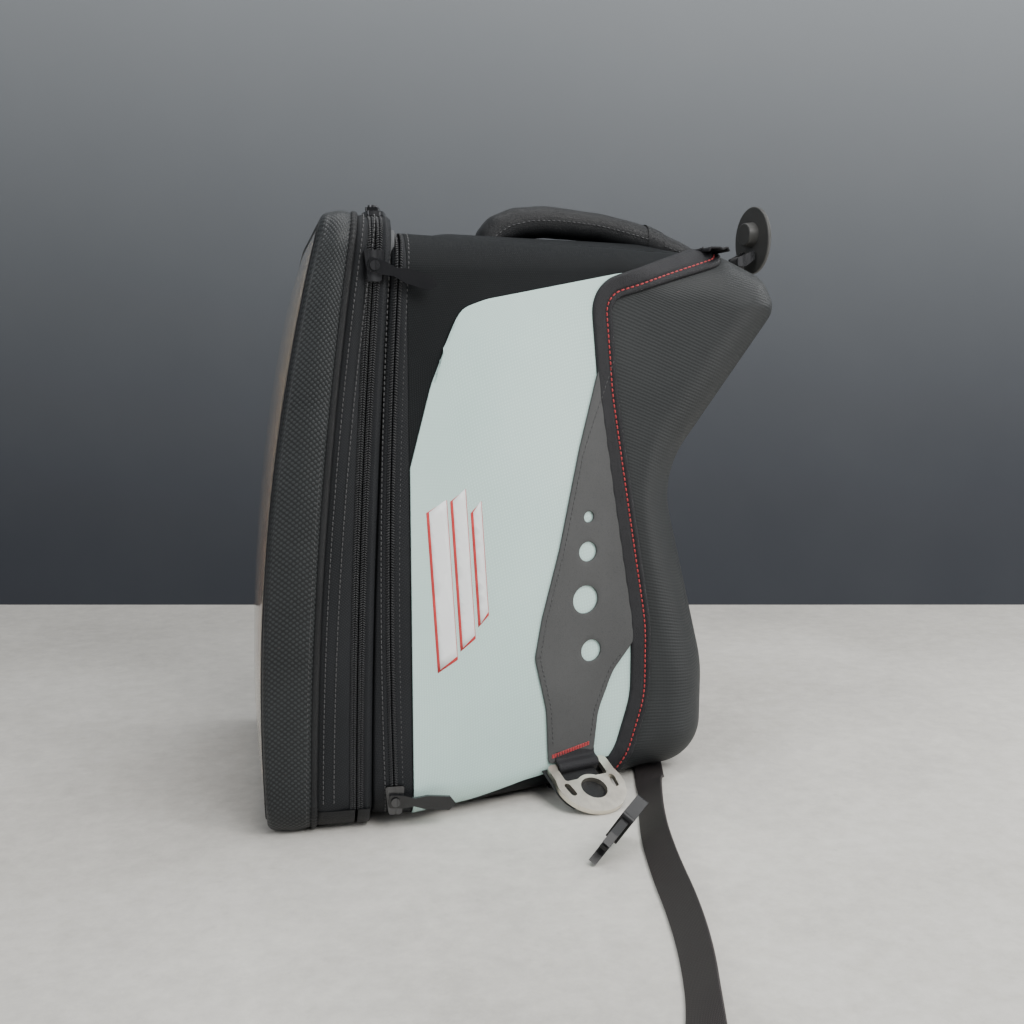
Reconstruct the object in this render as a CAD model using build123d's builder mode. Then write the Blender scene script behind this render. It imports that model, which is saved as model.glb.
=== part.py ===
from build123d import *
from math import atan2, cos, degrees, radians, sin, tan
import os

# Motorcycle tank bag, stood on its rear end. Millimetres.
# X runs from the lid (-X) to the tank side (+X), Z is up, Y = 0 is its plane of symmetry.

# Driving dimensions
LID_HALF_WIDTH = 125.0
LID_HEIGHT = 377.0
LID_CORNER = 22.0
MOUTH_X = -84.0
MOUTH_HALF_WIDTH = 122.0
MOUTH_TOP = 366.0
MOUTH_CORNER = 24.0
FOOT_Z = 3.0
WAIST_X = 53.0
WAIST_TOP = 361.0
WAIST_HALF_WIDTH = 76.0
WAIST_CORNER = 18.0
WALL = 4.0
LINING = 0.9
SKIN = 1.0
TAB_THICK = 1.8
TRIM_RAISE = 2.8
TRIM_OUT = 10.5
TRIM_IN = 4.5
TAPE = 2.0
GAP = 0.15
PIPING = 2.4
BROAD = 150.0
TALL = 450.0
CHANNEL_DEPTH = 22.0
CHANNEL_HALF_WIDTH = 46.0
RING_TILT = 27.0
RING_X = 28.0
WEBBING = 28.0
RING_THICK = 3.6
RING_HALF = 23.0
RING_FOOT = -40.0
RING_EYE_Y = -20.0
RING_EYE_RADIUS = 9.0
HANDLE_WIDTH = 34.0
FASTENER = (172.0, 358.5)
SLIDER_Z = 345.0
BUCKLE_REAR = (46.0, -168.0, 20.0)
BUCKLE_TIP = (3.0, -214.0, 7.0)
BUCKLE_LEAN = 35.0
STRAP_WIDTH = 20.0
STRAP_THICK = 2.0
ORIGIN_X = 5.67  # the frame's origin, midway along X without the strap

# Side-view lines of the lid and its zip bands, each an arc through three (x, z) points.
OUTER_LINE = [(-170.0, -2.0), (-165.5, 180.0), (-128.0, 380.0)]
PIPING_LINE = [(-145.5, -2.0), (-137.0, 180.0), (-112.5, 380.0)]
COIL_LINE = [(-119.5, -2.0), (-114.0, 180.0), (-100.5, 380.0)]
BAND_LINE = [(-110.5, -2.0), (-105.0, 180.0), (-91.5, 380.0)]
SLIT_LINE = [(-95.0, -2.0), (-96.0, 180.0), (-86.0, 380.0)]
MOUTH_LINE = [(-84.0, -2.0), (-84.0, 180.0), (-84.0, 380.0)]

# The trim's red seam in the side view, from over the top end to under the bottom end.
SEAM = [(134, 400), (134, 356), (52, 332), (57, 268), (80.5, 112), (80.5, 62), (69, 22), (50, -14)]
SEAM_RADII = [16, 14, 150, 150, 80, 60]

# The strap lies on the floor from under the base: (x, y) of its route.
STRAP_ROUTE = [(99, -28), (91, -62), (74, -112), (57, -168), (46, -222), (38, -276), (27, -326),
               (12, -374), (-3, -418)]


def moved(line, dx):
    return [(x + dx, z) for x, z in line]


def x_at(line, z):
    """The x of an arc line at height z, by the parabola through its three points."""
    (x0, z0), (x1, z1), (x2, z2) = line
    a = x0 * (z - z1) * (z - z2) / ((z0 - z1) * (z0 - z2))
    b = x1 * (z - z0) * (z - z2) / ((z1 - z0) * (z1 - z2))
    return a + b + x2 * (z - z0) * (z - z1) / ((z2 - z0) * (z2 - z1))


def between(left, right):
    """A slab whose side view is the region between two lines."""
    with BuildPart() as slab:
        with BuildSketch(Plane.XZ):
            with BuildLine():
                side_line(left)
                side_line(right)
                Line(left[0], right[0])
                Line(left[2], right[2])
            make_face()
        extrude(amount=BROAD, both=True)
    return slab.part


def side_line(points):
    if points[0][0] == points[1][0] == points[2][0]:
        return Line(points[0], points[2])
    return ThreePointArc(*points)


def block(x, y, z):
    """A box from its three (low, high) spans."""
    size = [span[1] - span[0] for span in (x, y, z)]
    middle = [(span[0] + span[1]) / 2 for span in (x, y, z)]
    return Pos(*middle) * Box(*size, mode=Mode.PRIVATE)


def end_view(half_width, low, high, corner, inset):
    """A rounded bar along X whose end view is a rounded rectangle."""
    with BuildPart() as bar:
        with BuildSketch(Plane.YZ.offset(-220)):
            with Locations((0, (low + high) / 2)):
                RectangleRounded(2 * (half_width - inset), high - low - 2 * inset, max(corner - inset, 3))
        extrude(amount=440)
    return bar.part


def lid_bar(inset):
    return end_view(LID_HALF_WIDTH, 0, LID_HEIGHT, LID_CORNER, inset)


def mouth_bar(inset):
    return end_view(MOUTH_HALF_WIDTH, FOOT_Z, MOUTH_TOP, MOUTH_CORNER, inset)


def ring_of(bar, outer, inner, left, right):
    """A hoop between two insets of a bar and two lines of the side view."""
    return (bar(outer) - bar(inner)) & between(left, right)


def zip_cut():
    """The hinge end, where the lid zip stops."""
    return block((-200, 0), (-BROAD, BROAD), (-5, 14))


def finish(name, piece):
    """Moves a piece into the frame, labels it and writes it."""
    piece = Pos(-ORIGIN_X, 0, 0) * piece
    piece.label = name
    export_step(piece, f"parts/{name}.step")


# ---------------------------------------------------------------- lid

def make_lid_wall():
    """The padded side wall of the lid with the border that holds the window."""
    with BuildPart() as lid_wall:
        add(ring_of(lid_bar, 0, 8, OUTER_LINE, moved(PIPING_LINE, -PIPING)))
        add((lid_bar(0) - lid_bar(26)) & between(OUTER_LINE, moved(OUTER_LINE, 4)))
    finish("lid_wall", lid_wall.part)


def make_window():
    with BuildPart() as lid_window_frame:
        add((lid_bar(14) - lid_bar(26)) & between(moved(OUTER_LINE, -5), OUTER_LINE))
    finish("lid_window_frame", lid_window_frame.part)
    with BuildPart() as lid_window:
        add(lid_bar(17) & between(moved(OUTER_LINE, -6.5), moved(OUTER_LINE, -5)))
    finish("lid_window", lid_window.part)
    with BuildPart() as lid_board:
        add(lid_bar(8) & between(moved(OUTER_LINE, 5), moved(OUTER_LINE, 7)))
    finish("lid_board", lid_board.part)


def make_lid_edge():
    with BuildPart() as lid_piping:
        add(ring_of(lid_bar, -1, 5, moved(PIPING_LINE, -PIPING), moved(PIPING_LINE, PIPING)))
        add(block((-200, 0), (-BROAD, BROAD), (-5, 0)), mode=Mode.SUBTRACT)
    finish("lid_piping", lid_piping.part)
    with BuildPart() as lid_zip_tape:
        add(ring_of(lid_bar, 3, 3 + TAPE, moved(PIPING_LINE, PIPING), moved(COIL_LINE, -GAP)))
        add(zip_cut(), mode=Mode.SUBTRACT)
    finish("lid_zip_tape", lid_zip_tape.part)
    with BuildPart() as lid_zip_coil:
        add(ring_of(lid_bar, 1.4, 3, moved(COIL_LINE, -3), moved(COIL_LINE, -GAP)))
        add(zip_cut(), mode=Mode.SUBTRACT)
    finish("lid_zip_coil", lid_zip_coil.part)
    with BuildPart() as lid_hinge_patch:
        add(ring_of(lid_bar, 0.3, 3 + TAPE, moved(PIPING_LINE, PIPING), moved(COIL_LINE, -0.4)))
        add(zip_cut(), mode=Mode.INTERSECT)
    finish("lid_hinge_patch", lid_hinge_patch.part)


# ---------------------------------------------------------------- expansion collar

def make_collar():
    with BuildPart() as collar_rim:
        add(ring_of(lid_bar, 3 + TAPE, 8.5, moved(COIL_LINE, 1), moved(BAND_LINE, 1.4)))
    finish("collar_rim", collar_rim.part)
    with BuildPart() as collar_zip_tape:
        add(ring_of(lid_bar, 3, 3 + TAPE, moved(COIL_LINE, GAP), BAND_LINE))
        add(zip_cut(), mode=Mode.SUBTRACT)
    finish("collar_zip_tape", collar_zip_tape.part)
    with BuildPart() as collar_zip_coil:
        add(ring_of(lid_bar, 1.4, 3, moved(COIL_LINE, GAP), moved(COIL_LINE, 3)))
        add(zip_cut(), mode=Mode.SUBTRACT)
    finish("collar_zip_coil", collar_zip_coil.part)
    with BuildPart() as collar_hinge_patch:
        add(ring_of(lid_bar, 0.3, 3 + TAPE, moved(COIL_LINE, 0.4), BAND_LINE))
        add(zip_cut(), mode=Mode.INTERSECT)
    finish("collar_hinge_patch", collar_hinge_patch.part)
    with BuildPart() as expansion_tape_collar:
        add(ring_of(mouth_bar, 0.6, 0.6 + TAPE, moved(BAND_LINE, 1.5), moved(SLIT_LINE, -GAP)))
        add(collar_rim.part, mode=Mode.SUBTRACT)
    finish("expansion_tape_collar", expansion_tape_collar.part)
    make_gusset(collar_rim.part)


def make_gusset(rim):
    """The sleeve that is folded away inside the body while the expansion zip is closed."""
    sleeve_end = MOUTH_X + 39
    flange = [(-99.0, -2.0), (-99.0, 180.0), (-99.0, 380.0)]
    with BuildPart() as expansion_gusset:
        add(ring_of(mouth_bar, 0.6 + TAPE, 20, flange, moved(flange, 1.6)))
        add(ring_of(mouth_bar, 18.4, 20, moved(flange, 1.6), moved(flange, sleeve_end + 99)))
        add(rim, mode=Mode.SUBTRACT)
    finish("expansion_gusset", expansion_gusset.part)


# ---------------------------------------------------------------- body envelope

def envelope(inset):
    """The outer form of body and base, drawn in by an inset."""
    with BuildPart() as form:
        with BuildSketch(Plane.YZ.offset(MOUTH_X)):
            with Locations((0, (FOOT_Z + MOUTH_TOP) / 2)):
                RectangleRounded(2 * (MOUTH_HALF_WIDTH - inset), MOUTH_TOP - FOOT_Z - 2 * inset,
                                 MOUTH_CORNER - inset)
        with BuildSketch(Plane.YZ.offset(WAIST_X)):
            with Locations((0, (FOOT_Z + WAIST_TOP) / 2)):
                RectangleRounded(2 * (WAIST_HALF_WIDTH - inset), WAIST_TOP - FOOT_Z - 2 * inset,
                                 WAIST_CORNER - inset)
        loft(ruled=True)
        add(base_form(inset))
    return form.part


def base_form(inset):
    """The tank side of the bag: an S-shaped side view with rounded edges."""
    low = FOOT_Z + inset
    high = WAIST_TOP - inset
    half = WAIST_HALF_WIDTH - inset
    with BuildPart() as form:
        with BuildSketch(Plane.XZ):
            with BuildLine():
                FilletPolyline((WAIST_X, low), (132 - inset, low), (132.5 - inset, 78),
                               (100.6 - inset, 210.8), (184.5 - inset, 315.5),
                               (171.5 - 0.7 * inset, 347 - 0.8 * inset), (137, high), (WAIST_X, high),
                               radius=[34 - inset, 100 - inset, 60 + inset, 26 - inset, 24 - inset,
                                       40 - inset])
                Line((WAIST_X, low), (WAIST_X, high))
            make_face()
        extrude(amount=half, both=True)
        rim = [e for e in form.edges() if e.center().X > WAIST_X + 1 and abs(abs(e.center().Y) - half) < 0.01]
        fillet(rim, WAIST_CORNER - inset)
    return form.part


def channel(inset):
    """The hollow that lets the base straddle the tank, grown by an inset."""
    depth = CHANNEL_DEPTH + inset
    with BuildPart() as hollow:
        with BuildSketch(Plane.XZ):
            with BuildLine():
                FilletPolyline((150 - depth, -20), (132.5 - depth, 78), (100.6 - depth, 210.8),
                               (184.5 - depth, 315.5), (184.5 - depth, 420), radius=[100, 60 + depth, 30])
                Polyline((184.5 - depth, 420), (260, 420), (260, -20), (150 - depth, -20))
            make_face()
        extrude(amount=CHANNEL_HALF_WIDTH + inset, both=True)
        floor = [e for e in hollow.edges()
                 if abs(abs(e.center().Y) - CHANNEL_HALF_WIDTH - inset) < 0.01 and e.center().X < 175 - depth]
        fillet(floor, 12)
    return hollow.part


# ---------------------------------------------------------------- side-view regions

def shifted(points, distance):
    """A polyline moved sideways, to the left of its direction, with mitred corners."""
    out = []
    for i, point in enumerate(points):
        before = Vector(*point) - Vector(*points[i - 1]) if i else None
        after = Vector(*points[i + 1]) - Vector(*point) if i + 1 < len(points) else None
        first = (before or after).normalized()
        second = (after or before).normalized()
        middle = (first + second).normalized()
        side = Vector(-middle.Y, middle.X) * (distance / middle.dot(first))
        out.append((point[0] + side.X, point[1] + side.Y))
    return out


def seam_side(edge, far_x):
    """Everything from the seam, moved by edge, to a far x, seen from the side."""
    path = shifted(SEAM, edge)
    with BuildPart() as region:
        with BuildSketch(Plane.XZ):
            with BuildLine():
                FilletPolyline(*path, radius=[r - edge * turn_sign(i) for i, r in enumerate(SEAM_RADII)])
                Polyline(path[-1], (far_x, path[-1][1]), (far_x, path[0][1]), path[0])
            make_face()
        extrude(amount=BROAD, both=True)
    return region.part


def turn_sign(i):
    """1 where the seam turns left at its inner corner i, else -1."""
    a, b, c = (Vector(*SEAM[i + k]) for k in range(3))
    return 1 if (b - a).cross(c - b).Z > 0 else -1


def outline(points, radii):
    """A slab from a closed side-view outline with rounded corners."""
    with BuildPart() as slab:
        with BuildSketch(Plane.XZ):
            with BuildLine():
                Polyline(*points, close=True)
            make_face()
            for point, radius in radii.items():
                corner = vertices().sort_by_distance((*points[point], 0))[0]
                fillet(corner, radius)
        extrude(amount=BROAD, both=True)
    return slab.part


BODY_SIDE = seam_side(0, -260)
BASE_SIDE = seam_side(0, 260)
TRIM_BAND = seam_side(-TRIM_OUT, 260) & seam_side(TRIM_IN, -260)
PALE_OUTLINE = [(-83.2, 6), (-83.2, 226), (-70, 276), (-50, 324), (-26, 331), (70, 345), (110, 345),
                (110, 20), (6, 17), (-44, 9)]
TAB_OUTLINE = [(54, 300), (30, 232), (16, 168), (4, 122), (-1, 98), (7, 60), (9, 28), (42, 34), (46, 56),
               (57, 82), (75, 100), (95, 200), (85, 300)]
TAB_HOLES = [(34.5, 190, 4), (33, 166, 6.6), (32, 134, 9.4), (37, 99, 7.4)]


# ---------------------------------------------------------------- body

def make_body():
    with BuildPart() as body_shell:
        add(envelope(0) - envelope(WALL))
        add(BODY_SIDE, mode=Mode.INTERSECT)
        add(block((MOUTH_X - 3, MOUTH_X + 3), (-115, 115), (12, 356)), mode=Mode.SUBTRACT)
    finish("body_shell", body_shell.part)
    with BuildPart() as body_lining:
        add(envelope(WALL + 0.1) - envelope(WALL + LINING))
        add(block((MOUTH_X + 4, 40), (-BROAD, BROAD), (0, TALL)), mode=Mode.INTERSECT)
    finish("body_lining", body_lining.part)
    with BuildPart() as expansion_tape_body:
        add(ring_of(mouth_bar, 0.6, 0.6 + TAPE, moved(SLIT_LINE, GAP), MOUTH_LINE))
    finish("expansion_tape_body", expansion_tape_body.part)


def make_base():
    with BuildPart() as base_shell:
        add(envelope(0) - channel(0))
        add(envelope(5) - channel(5), mode=Mode.SUBTRACT)
        add(BASE_SIDE, mode=Mode.INTERSECT)
    finish("base_shell", base_shell.part)
    with BuildPart() as base_board:
        add(envelope(WALL + 1.3))
        add(block((48, 51), (-BROAD, BROAD), (0, TALL)), mode=Mode.INTERSECT)
    finish("base_board", base_board.part)
    with BuildPart() as base_trim:
        add(envelope(-TRIM_RAISE) - envelope(0))
        add(TRIM_BAND, mode=Mode.INTERSECT)
    finish("base_trim", base_trim.part)


def near_half():
    return block((-300, 300), (-BROAD, 0), (-20, TALL))


def both_sides(name, near):
    """Writes a near-side piece and its mirror image."""
    finish(name + "_near", near)
    finish(name + "_far", mirror(near, about=Plane.XZ))


def make_side_panels():
    open_side = seam_side(-TRIM_OUT - 0.2, -260)
    with BuildPart() as side_panel:
        add(envelope(-SKIN) - envelope(0))
        pale = outline(PALE_OUTLINE, {1: 40, 2: 30, 3: 14, 4: 30})
        add(pale & open_side & near_half(), mode=Mode.INTERSECT)
    both_sides("side_panel", side_panel.part)
    with BuildPart() as tab:
        add(envelope(-SKIN - TAB_THICK) - envelope(-SKIN))
        add(outline(TAB_OUTLINE, {4: 14, 5: 30, 9: 20}) & open_side & near_half(), mode=Mode.INTERSECT)
        for x, z, radius in TAB_HOLES:
            add(Pos(x, -90, z) * Rot(90, 0, 0) * Cylinder(radius, 120, mode=Mode.PRIVATE), mode=Mode.SUBTRACT)
    both_sides("tab", tab.part)


# ---------------------------------------------------------------- ring, webbing and cross strap

SIDE_ANGLE = degrees(atan2(MOUTH_HALF_WIDTH - WAIST_HALF_WIDTH, WAIST_X - MOUTH_X))
ALONG = Vector(cos(radians(SIDE_ANGLE)), sin(radians(SIDE_ANGLE)), 0)
OUT = Vector(sin(radians(SIDE_ANGLE)), -cos(radians(SIDE_ANGLE)), 0)
TAB_FACE = SKIN + TAB_THICK
RING_OUT = TAB_FACE + 5.6
SIDE_Y = -MOUTH_HALF_WIDTH + (RING_X - MOUTH_X) * tan(radians(SIDE_ANGLE))
RING_ORIGIN = Vector(RING_X, SIDE_Y, 20) + OUT * RING_OUT
RING_UP = OUT * -cos(radians(RING_TILT)) + Vector(0, 0, sin(radians(RING_TILT)))
RING_PLANE = Plane(origin=RING_ORIGIN, x_dir=ALONG, z_dir=ALONG.cross(RING_UP))


def make_rings():
    with BuildPart() as ring:
        with BuildSketch(RING_PLANE.offset(-RING_THICK / 2)):
            with BuildLine():
                Polyline((-RING_HALF, -8), (-RING_HALF, 5.5), (RING_HALF, 5.5), (RING_HALF, -8))
                ThreePointArc((-RING_HALF, -8), (0, RING_FOOT), (RING_HALF, -8))
            make_face()
            fillet(vertices().group_by(Axis.Y)[-1], 4)
            with Locations((0, -4)):
                RectangleRounded(33, 12.6, 2, mode=Mode.SUBTRACT)
            with Locations((-17, -17.5)):
                SlotOverall(11, 4.4, rotation=98, mode=Mode.SUBTRACT)
            with Locations((17, -17.5)):
                SlotOverall(11, 4.4, rotation=82, mode=Mode.SUBTRACT)
            with Locations((0, RING_EYE_Y)):
                Circle(RING_EYE_RADIUS + 3)
                Circle(RING_EYE_RADIUS, mode=Mode.SUBTRACT)
        extrude(amount=RING_THICK)
    both_sides("ring", ring.part)


def make_webbing():
    """The loop that hangs the ring from the tab, and the strap under the bottom end."""
    start = Plane(origin=RING_ORIGIN + ALONG * (WEBBING / 2), x_dir=OUT, z_dir=ALONG * -1)
    with BuildPart() as tab_webbing:
        with BuildSketch(start):
            with BuildLine():
                FilletPolyline((-4.6, 30), (-4.6, 15), (2.4, 3), (-3.2, -3.8), radius=[4, 2.5])
                offset(amount=0.9, kind=Kind.INTERSECTION)
            make_face()
        extrude(amount=WEBBING)
    both_sides("tab_webbing", tab_webbing.part)
    skin = SKIN + 0.1
    with BuildPart() as cross_strap:
        add(envelope(-skin - 1.9) - envelope(-skin))
        reach = (RING_X - WEBBING / 2, RING_X + WEBBING / 2)
        add(block(reach, (-BROAD, BROAD), (-5, 13)), mode=Mode.INTERSECT)
    finish("cross_strap", cross_strap.part)


# ---------------------------------------------------------------- handle

def make_handle():
    outer = [(-22, 366), (-14, 385), (2, 393), (28, 396), (70, 391), (100, 384), (128, 371), (143, 360.5)]
    inner = [(112, 361), (92, 371), (64, 378), (22, 378), (2, 373), (-6, 366)]
    with BuildPart() as handle:
        with BuildSketch(Plane.XZ):
            with BuildLine():
                FilletPolyline(*outer, radius=[12, 20, 60, 80, 80, 60])
                FilletPolyline(*inner, radius=[30, 40, 60, 12])
                Line(outer[-1], inner[0])
                Line(inner[-1], outer[0])
            make_face()
        extrude(amount=HANDLE_WIDTH / 2, both=True)
        add(envelope(-0.2), mode=Mode.SUBTRACT)
        add(TRIM_BAND & envelope(-TRIM_RAISE), mode=Mode.SUBTRACT)
    finish("handle", handle.part)


# ---------------------------------------------------------------- front fastener

def make_fastener():
    """The puck on its shackle, which hangs on a webbing loop at the top of the base."""
    x, z = FASTENER
    with BuildPart() as fastener_loop:
        with BuildSketch(Plane.XZ):
            with Locations((x, z - 5)):
                SlotOverall(18, 6.4, rotation=90)
            with Locations((x, z)):
                Circle(1.7, mode=Mode.SUBTRACT)
        extrude(amount=6, both=True)
        add(envelope(-0.05), mode=Mode.SUBTRACT)
    finish("fastener_loop", fastener_loop.part)
    with BuildPart() as fastener_link:
        with BuildSketch(Plane.XZ):
            with BuildLine():
                Polyline((x - 3, z - 3), (x - 3, z + 3), (x + 10, z + 9), (x + 10, z + 2), (x + 3, z - 3),
                         close=True)
            make_face()
            fillet(vertices(), 1.5)
        extrude(amount=9, both=True)
        add(block((x - 10, x + 20), (-7, 7), (z - 10, z + 20)), mode=Mode.SUBTRACT)
        add(Pos(x, 0, z) * Rot(90, 0, 0) * Cylinder(1.5, 18, mode=Mode.PRIVATE))
    finish("fastener_link", fastener_link.part)
    face = Plane(origin=(x + 12, 0, z + 16), x_dir=(0, 0, 1), z_dir=(-1, -0.2, 0))
    with BuildPart() as fastener_disc:
        with BuildSketch(face.offset(-1.5)):
            Ellipse(24, 21)
        extrude(amount=3)
        fillet(fastener_disc.edges(), 1)
        add(fastener_link.part, mode=Mode.SUBTRACT)
    finish("fastener_disc", fastener_disc.part)
    with BuildPart() as fastener_boss:
        with BuildSketch(face.offset(1.5)):
            with Locations((4, 0)):
                Circle(9)
        extrude(amount=7, taper=8)
        fillet(fastener_boss.edges().filter_by(GeomType.CIRCLE).sort_by(SortBy.RADIUS)[0], 1)
        add(fastener_link.part, mode=Mode.SUBTRACT)
    finish("fastener_boss", fastener_boss.part)


# ---------------------------------------------------------------- zip sliders

def make_slider(name, centre, outward, pointing):
    """A cast slider with a post, and the moulded puller that swings on it."""
    plane = Plane(origin=centre, x_dir=(1, 0, 0), z_dir=outward)
    with BuildPart() as slider:
        with BuildSketch(plane):
            with BuildLine():
                Polyline((-6, 9), (-4, -9), (4, -9), (6, 9), close=True)
            make_face()
            fillet(vertices(), 1.5)
        extrude(amount=3)
        with BuildSketch(plane.offset(3)):
            Circle(1.6)
        extrude(amount=2.8)
        with BuildSketch(plane.offset(5.8)):
            Circle(2.8)
        extrude(amount=1.2)
    finish(name + "_slider", slider.part)
    arm = Plane(plane.location * Rot(0, 0, pointing))
    with BuildPart() as puller:
        with BuildSketch(arm.offset(3.2)):
            with BuildLine():
                Polyline((-4, -4), (5, -4), (12, -2.6), (20, -4.4), (34, -4.4), (38, 0), (34, 4.4), (20, 4.4),
                         (12, 2.6), (5, 4), (-4, 4), close=True)
            make_face()
            fillet(vertices(), 1.2)
            Circle(1.7, mode=Mode.SUBTRACT)
        extrude(amount=2.4)
    finish(name + "_puller", puller.part)


def make_sliders():
    z = SLIDER_Z
    make_slider("lid_zip_near", (x_at(COIL_LINE, z), -LID_HALF_WIDTH + 1.3, z), (0, -1, 0), -17)
    make_slider("lid_zip_far", (x_at(COIL_LINE, LID_HEIGHT), -92, LID_HEIGHT - 1.3), (0, 0, 1), 78)
    make_slider("expansion_zip", (x_at(SLIT_LINE, 20), -MOUTH_HALF_WIDTH + 0.5, 20), (0, -1, 0), -6)


# ---------------------------------------------------------------- strap and buckle

def strap_radii():
    """For each corner of the route, 0.45 of the shorter run over the tangent of half the turn."""
    radii = []
    for a, b, c in zip(STRAP_ROUTE, STRAP_ROUTE[1:], STRAP_ROUTE[2:]):
        first = Vector(*b) - Vector(*a)
        second = Vector(*c) - Vector(*b)
        turn = radians(first.get_angle(second))
        radii.append(0.45 * min(first.length, second.length) / tan(turn / 2))
    return radii


def make_strap():
    radii = strap_radii()
    print("strap corner radii", [round(r) for r in radii])
    with BuildPart() as strap:
        with BuildLine(Plane.XY.offset(0.1 + STRAP_THICK / 2)) as route:
            FilletPolyline(*STRAP_ROUTE, radius=radii)
        path = route.wire()
        with BuildSketch(Plane(origin=path @ 0, z_dir=path % 0, x_dir=(0, 0, 1))):
            Rectangle(STRAP_THICK, STRAP_WIDTH)
        sweep(path=path)
    print("strap length", path.length, "volume", strap.part.volume,
          "section times length", path.length * STRAP_THICK * STRAP_WIDTH)
    finish("strap", strap.part)


def make_buckle():
    """The male half of the strap's side-release buckle, leaning on the strap."""
    rear = Vector(*BUCKLE_REAR)
    axis = Vector(*BUCKLE_TIP) - rear
    across = axis.cross(Vector(0, 0, 1)).normalized()
    above = axis.cross(across).normalized()
    face = across * cos(radians(BUCKLE_LEAN)) - above * sin(radians(BUCKLE_LEAN))
    flat = Plane(origin=rear, x_dir=axis, z_dir=face)
    with BuildPart() as buckle:
        with BuildSketch(flat.offset(-4)):
            with BuildLine():
                Polyline((0, -12), (24, -12), (24, 12), (0, 12), close=True)
            make_face()
            fillet(vertices(), 3)
            with Locations((5, 0), (14, 0)):
                RectangleRounded(4, 20.4, 1.5, mode=Mode.SUBTRACT)
        extrude(amount=8)
        with BuildSketch(flat.offset(-2.5)):
            for side in (-1, 1):
                Polygon((23, side * 4), (44, side * 6), (50, side * 9), (42, side * 12), (23, side * 9),
                        align=None)
            with Locations((33, 0)):
                Rectangle(22, 3)
        extrude(amount=5)
    finish("buckle", buckle.part)


os.makedirs("parts", exist_ok=True)
make_lid_wall()
make_window()
make_lid_edge()
make_collar()
make_body()
make_base()
make_side_panels()
make_rings()
make_webbing()
make_handle()
make_fastener()
make_sliders()
make_strap()
make_buckle()
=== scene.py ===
import math

import bmesh
import bpy
import numpy as np
from mathutils import Matrix, Vector


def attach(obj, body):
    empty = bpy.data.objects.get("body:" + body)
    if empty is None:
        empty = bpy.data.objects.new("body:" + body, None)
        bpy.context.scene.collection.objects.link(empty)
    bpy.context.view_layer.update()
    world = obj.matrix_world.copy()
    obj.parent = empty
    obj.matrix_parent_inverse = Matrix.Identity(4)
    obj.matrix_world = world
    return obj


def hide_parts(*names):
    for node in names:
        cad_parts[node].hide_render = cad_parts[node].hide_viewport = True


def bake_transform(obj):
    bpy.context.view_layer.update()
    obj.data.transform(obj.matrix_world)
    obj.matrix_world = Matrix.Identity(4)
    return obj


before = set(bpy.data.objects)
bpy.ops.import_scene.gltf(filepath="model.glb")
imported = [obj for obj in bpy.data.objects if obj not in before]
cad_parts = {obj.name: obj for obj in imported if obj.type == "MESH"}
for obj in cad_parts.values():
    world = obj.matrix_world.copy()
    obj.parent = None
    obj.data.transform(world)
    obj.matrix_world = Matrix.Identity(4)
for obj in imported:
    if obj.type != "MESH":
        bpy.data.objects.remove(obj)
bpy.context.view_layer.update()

# ---------------------------------------------------------------- driving dimensions, in metres

MM = 0.001
ORIGIN_SHIFT = -5.67 * MM
MOUTH_X = -84 * MM
MOUTH_HALF = 122 * MM
MOUTH_CORNER = 24 * MM
WAIST_X = 53 * MM
WAIST_HALF = 76 * MM
WAIST_CORNER = 18 * MM
BASE_SOFTNESS = 17 * MM
TOP_CROWN = 8 * MM
MOUTH_TOP = 366 * MM
FOOT_Z = 3 * MM
LID_HALF = 125 * MM
LID_TOP = 377 * MM
LID_CORNER = 22 * MM
LID_OUT = 3 * MM

PROFILE = [(-84, 3), (132, 3), (132.5, 78), (100.6, 210.8), (181.5, 324), (170.5, 345.5), (137, 361),
           (-84, 366)]
PROFILE_RADII = [34, 100, 60, 16, 20, 40]
SEAM = [(58, 3), (58, 9), (69, 24), (80.5, 62), (80.5, 112), (54.5, 268), (48.5, 331), (130, 355), (134, 361)]
SEAM_RADII = [6, 40, 80, 150, 150, 14, 7]
TRIM_OUT = -10.5 * MM
TRIM_IN = 4.5 * MM
TRIM_RAISE = 2.8 * MM

OUTER_LINE = [(-170.0, -2.0), (-165.5, 180.0), (-128.0, 380.0)]
PIPING_LINE = [(-145.5, -2.0), (-137.0, 180.0), (-112.5, 380.0)]
COIL_LINE = [(-119.5, -2.0), (-114.0, 180.0), (-100.5, 380.0)]
BAND_LINE = [(-110.5, -2.0), (-105.0, 180.0), (-91.5, 380.0)]
SLIT_LINE = [(-95.0, -2.0), (-96.0, 180.0), (-86.0, 380.0)]

STRAP_ROUTE = [(99, -28), (91, -62), (74, -112), (57, -168), (46, -222), (38, -276), (27, -326),
               (12, -374), (-3, -418)]
STRAP_WIDTH = 20 * MM
STRAP_THICK = 1.7 * MM

GRID_MERGE = 0.03 * MM
SEAM_MERGE = 0.35 * MM
BAG_MIDDLE = Vector((0, 0, 0.19))


# ---------------------------------------------------------------- plane geometry

def rounded(points, radii, step=2.5 * MM):
    """A polyline in metres with its inner corners turned into arcs, as evenly spaced points."""
    points = [Vector(p) * MM for p in points]
    out = [points[0]]
    for a, b, c, radius in zip(points, points[1:], points[2:], radii):
        to_a, to_c = (a - b).normalized(), (c - b).normalized()
        half = to_a.angle(to_c) / 2
        reach = radius * MM / math.tan(half)
        centre = b + (to_a + to_c).normalized() * (radius * MM / math.sin(half))
        start, end = b + to_a * reach - centre, b + to_c * reach - centre
        turn = start.angle_signed(end)
        count = max(4, int(abs(turn) * radius * MM / step))
        out += [centre + Matrix.Rotation(-turn * i / count, 2) @ start for i in range(count + 1)]
    out.append(points[-1])
    return spaced(np.array([p[:] for p in out]), step)


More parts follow.
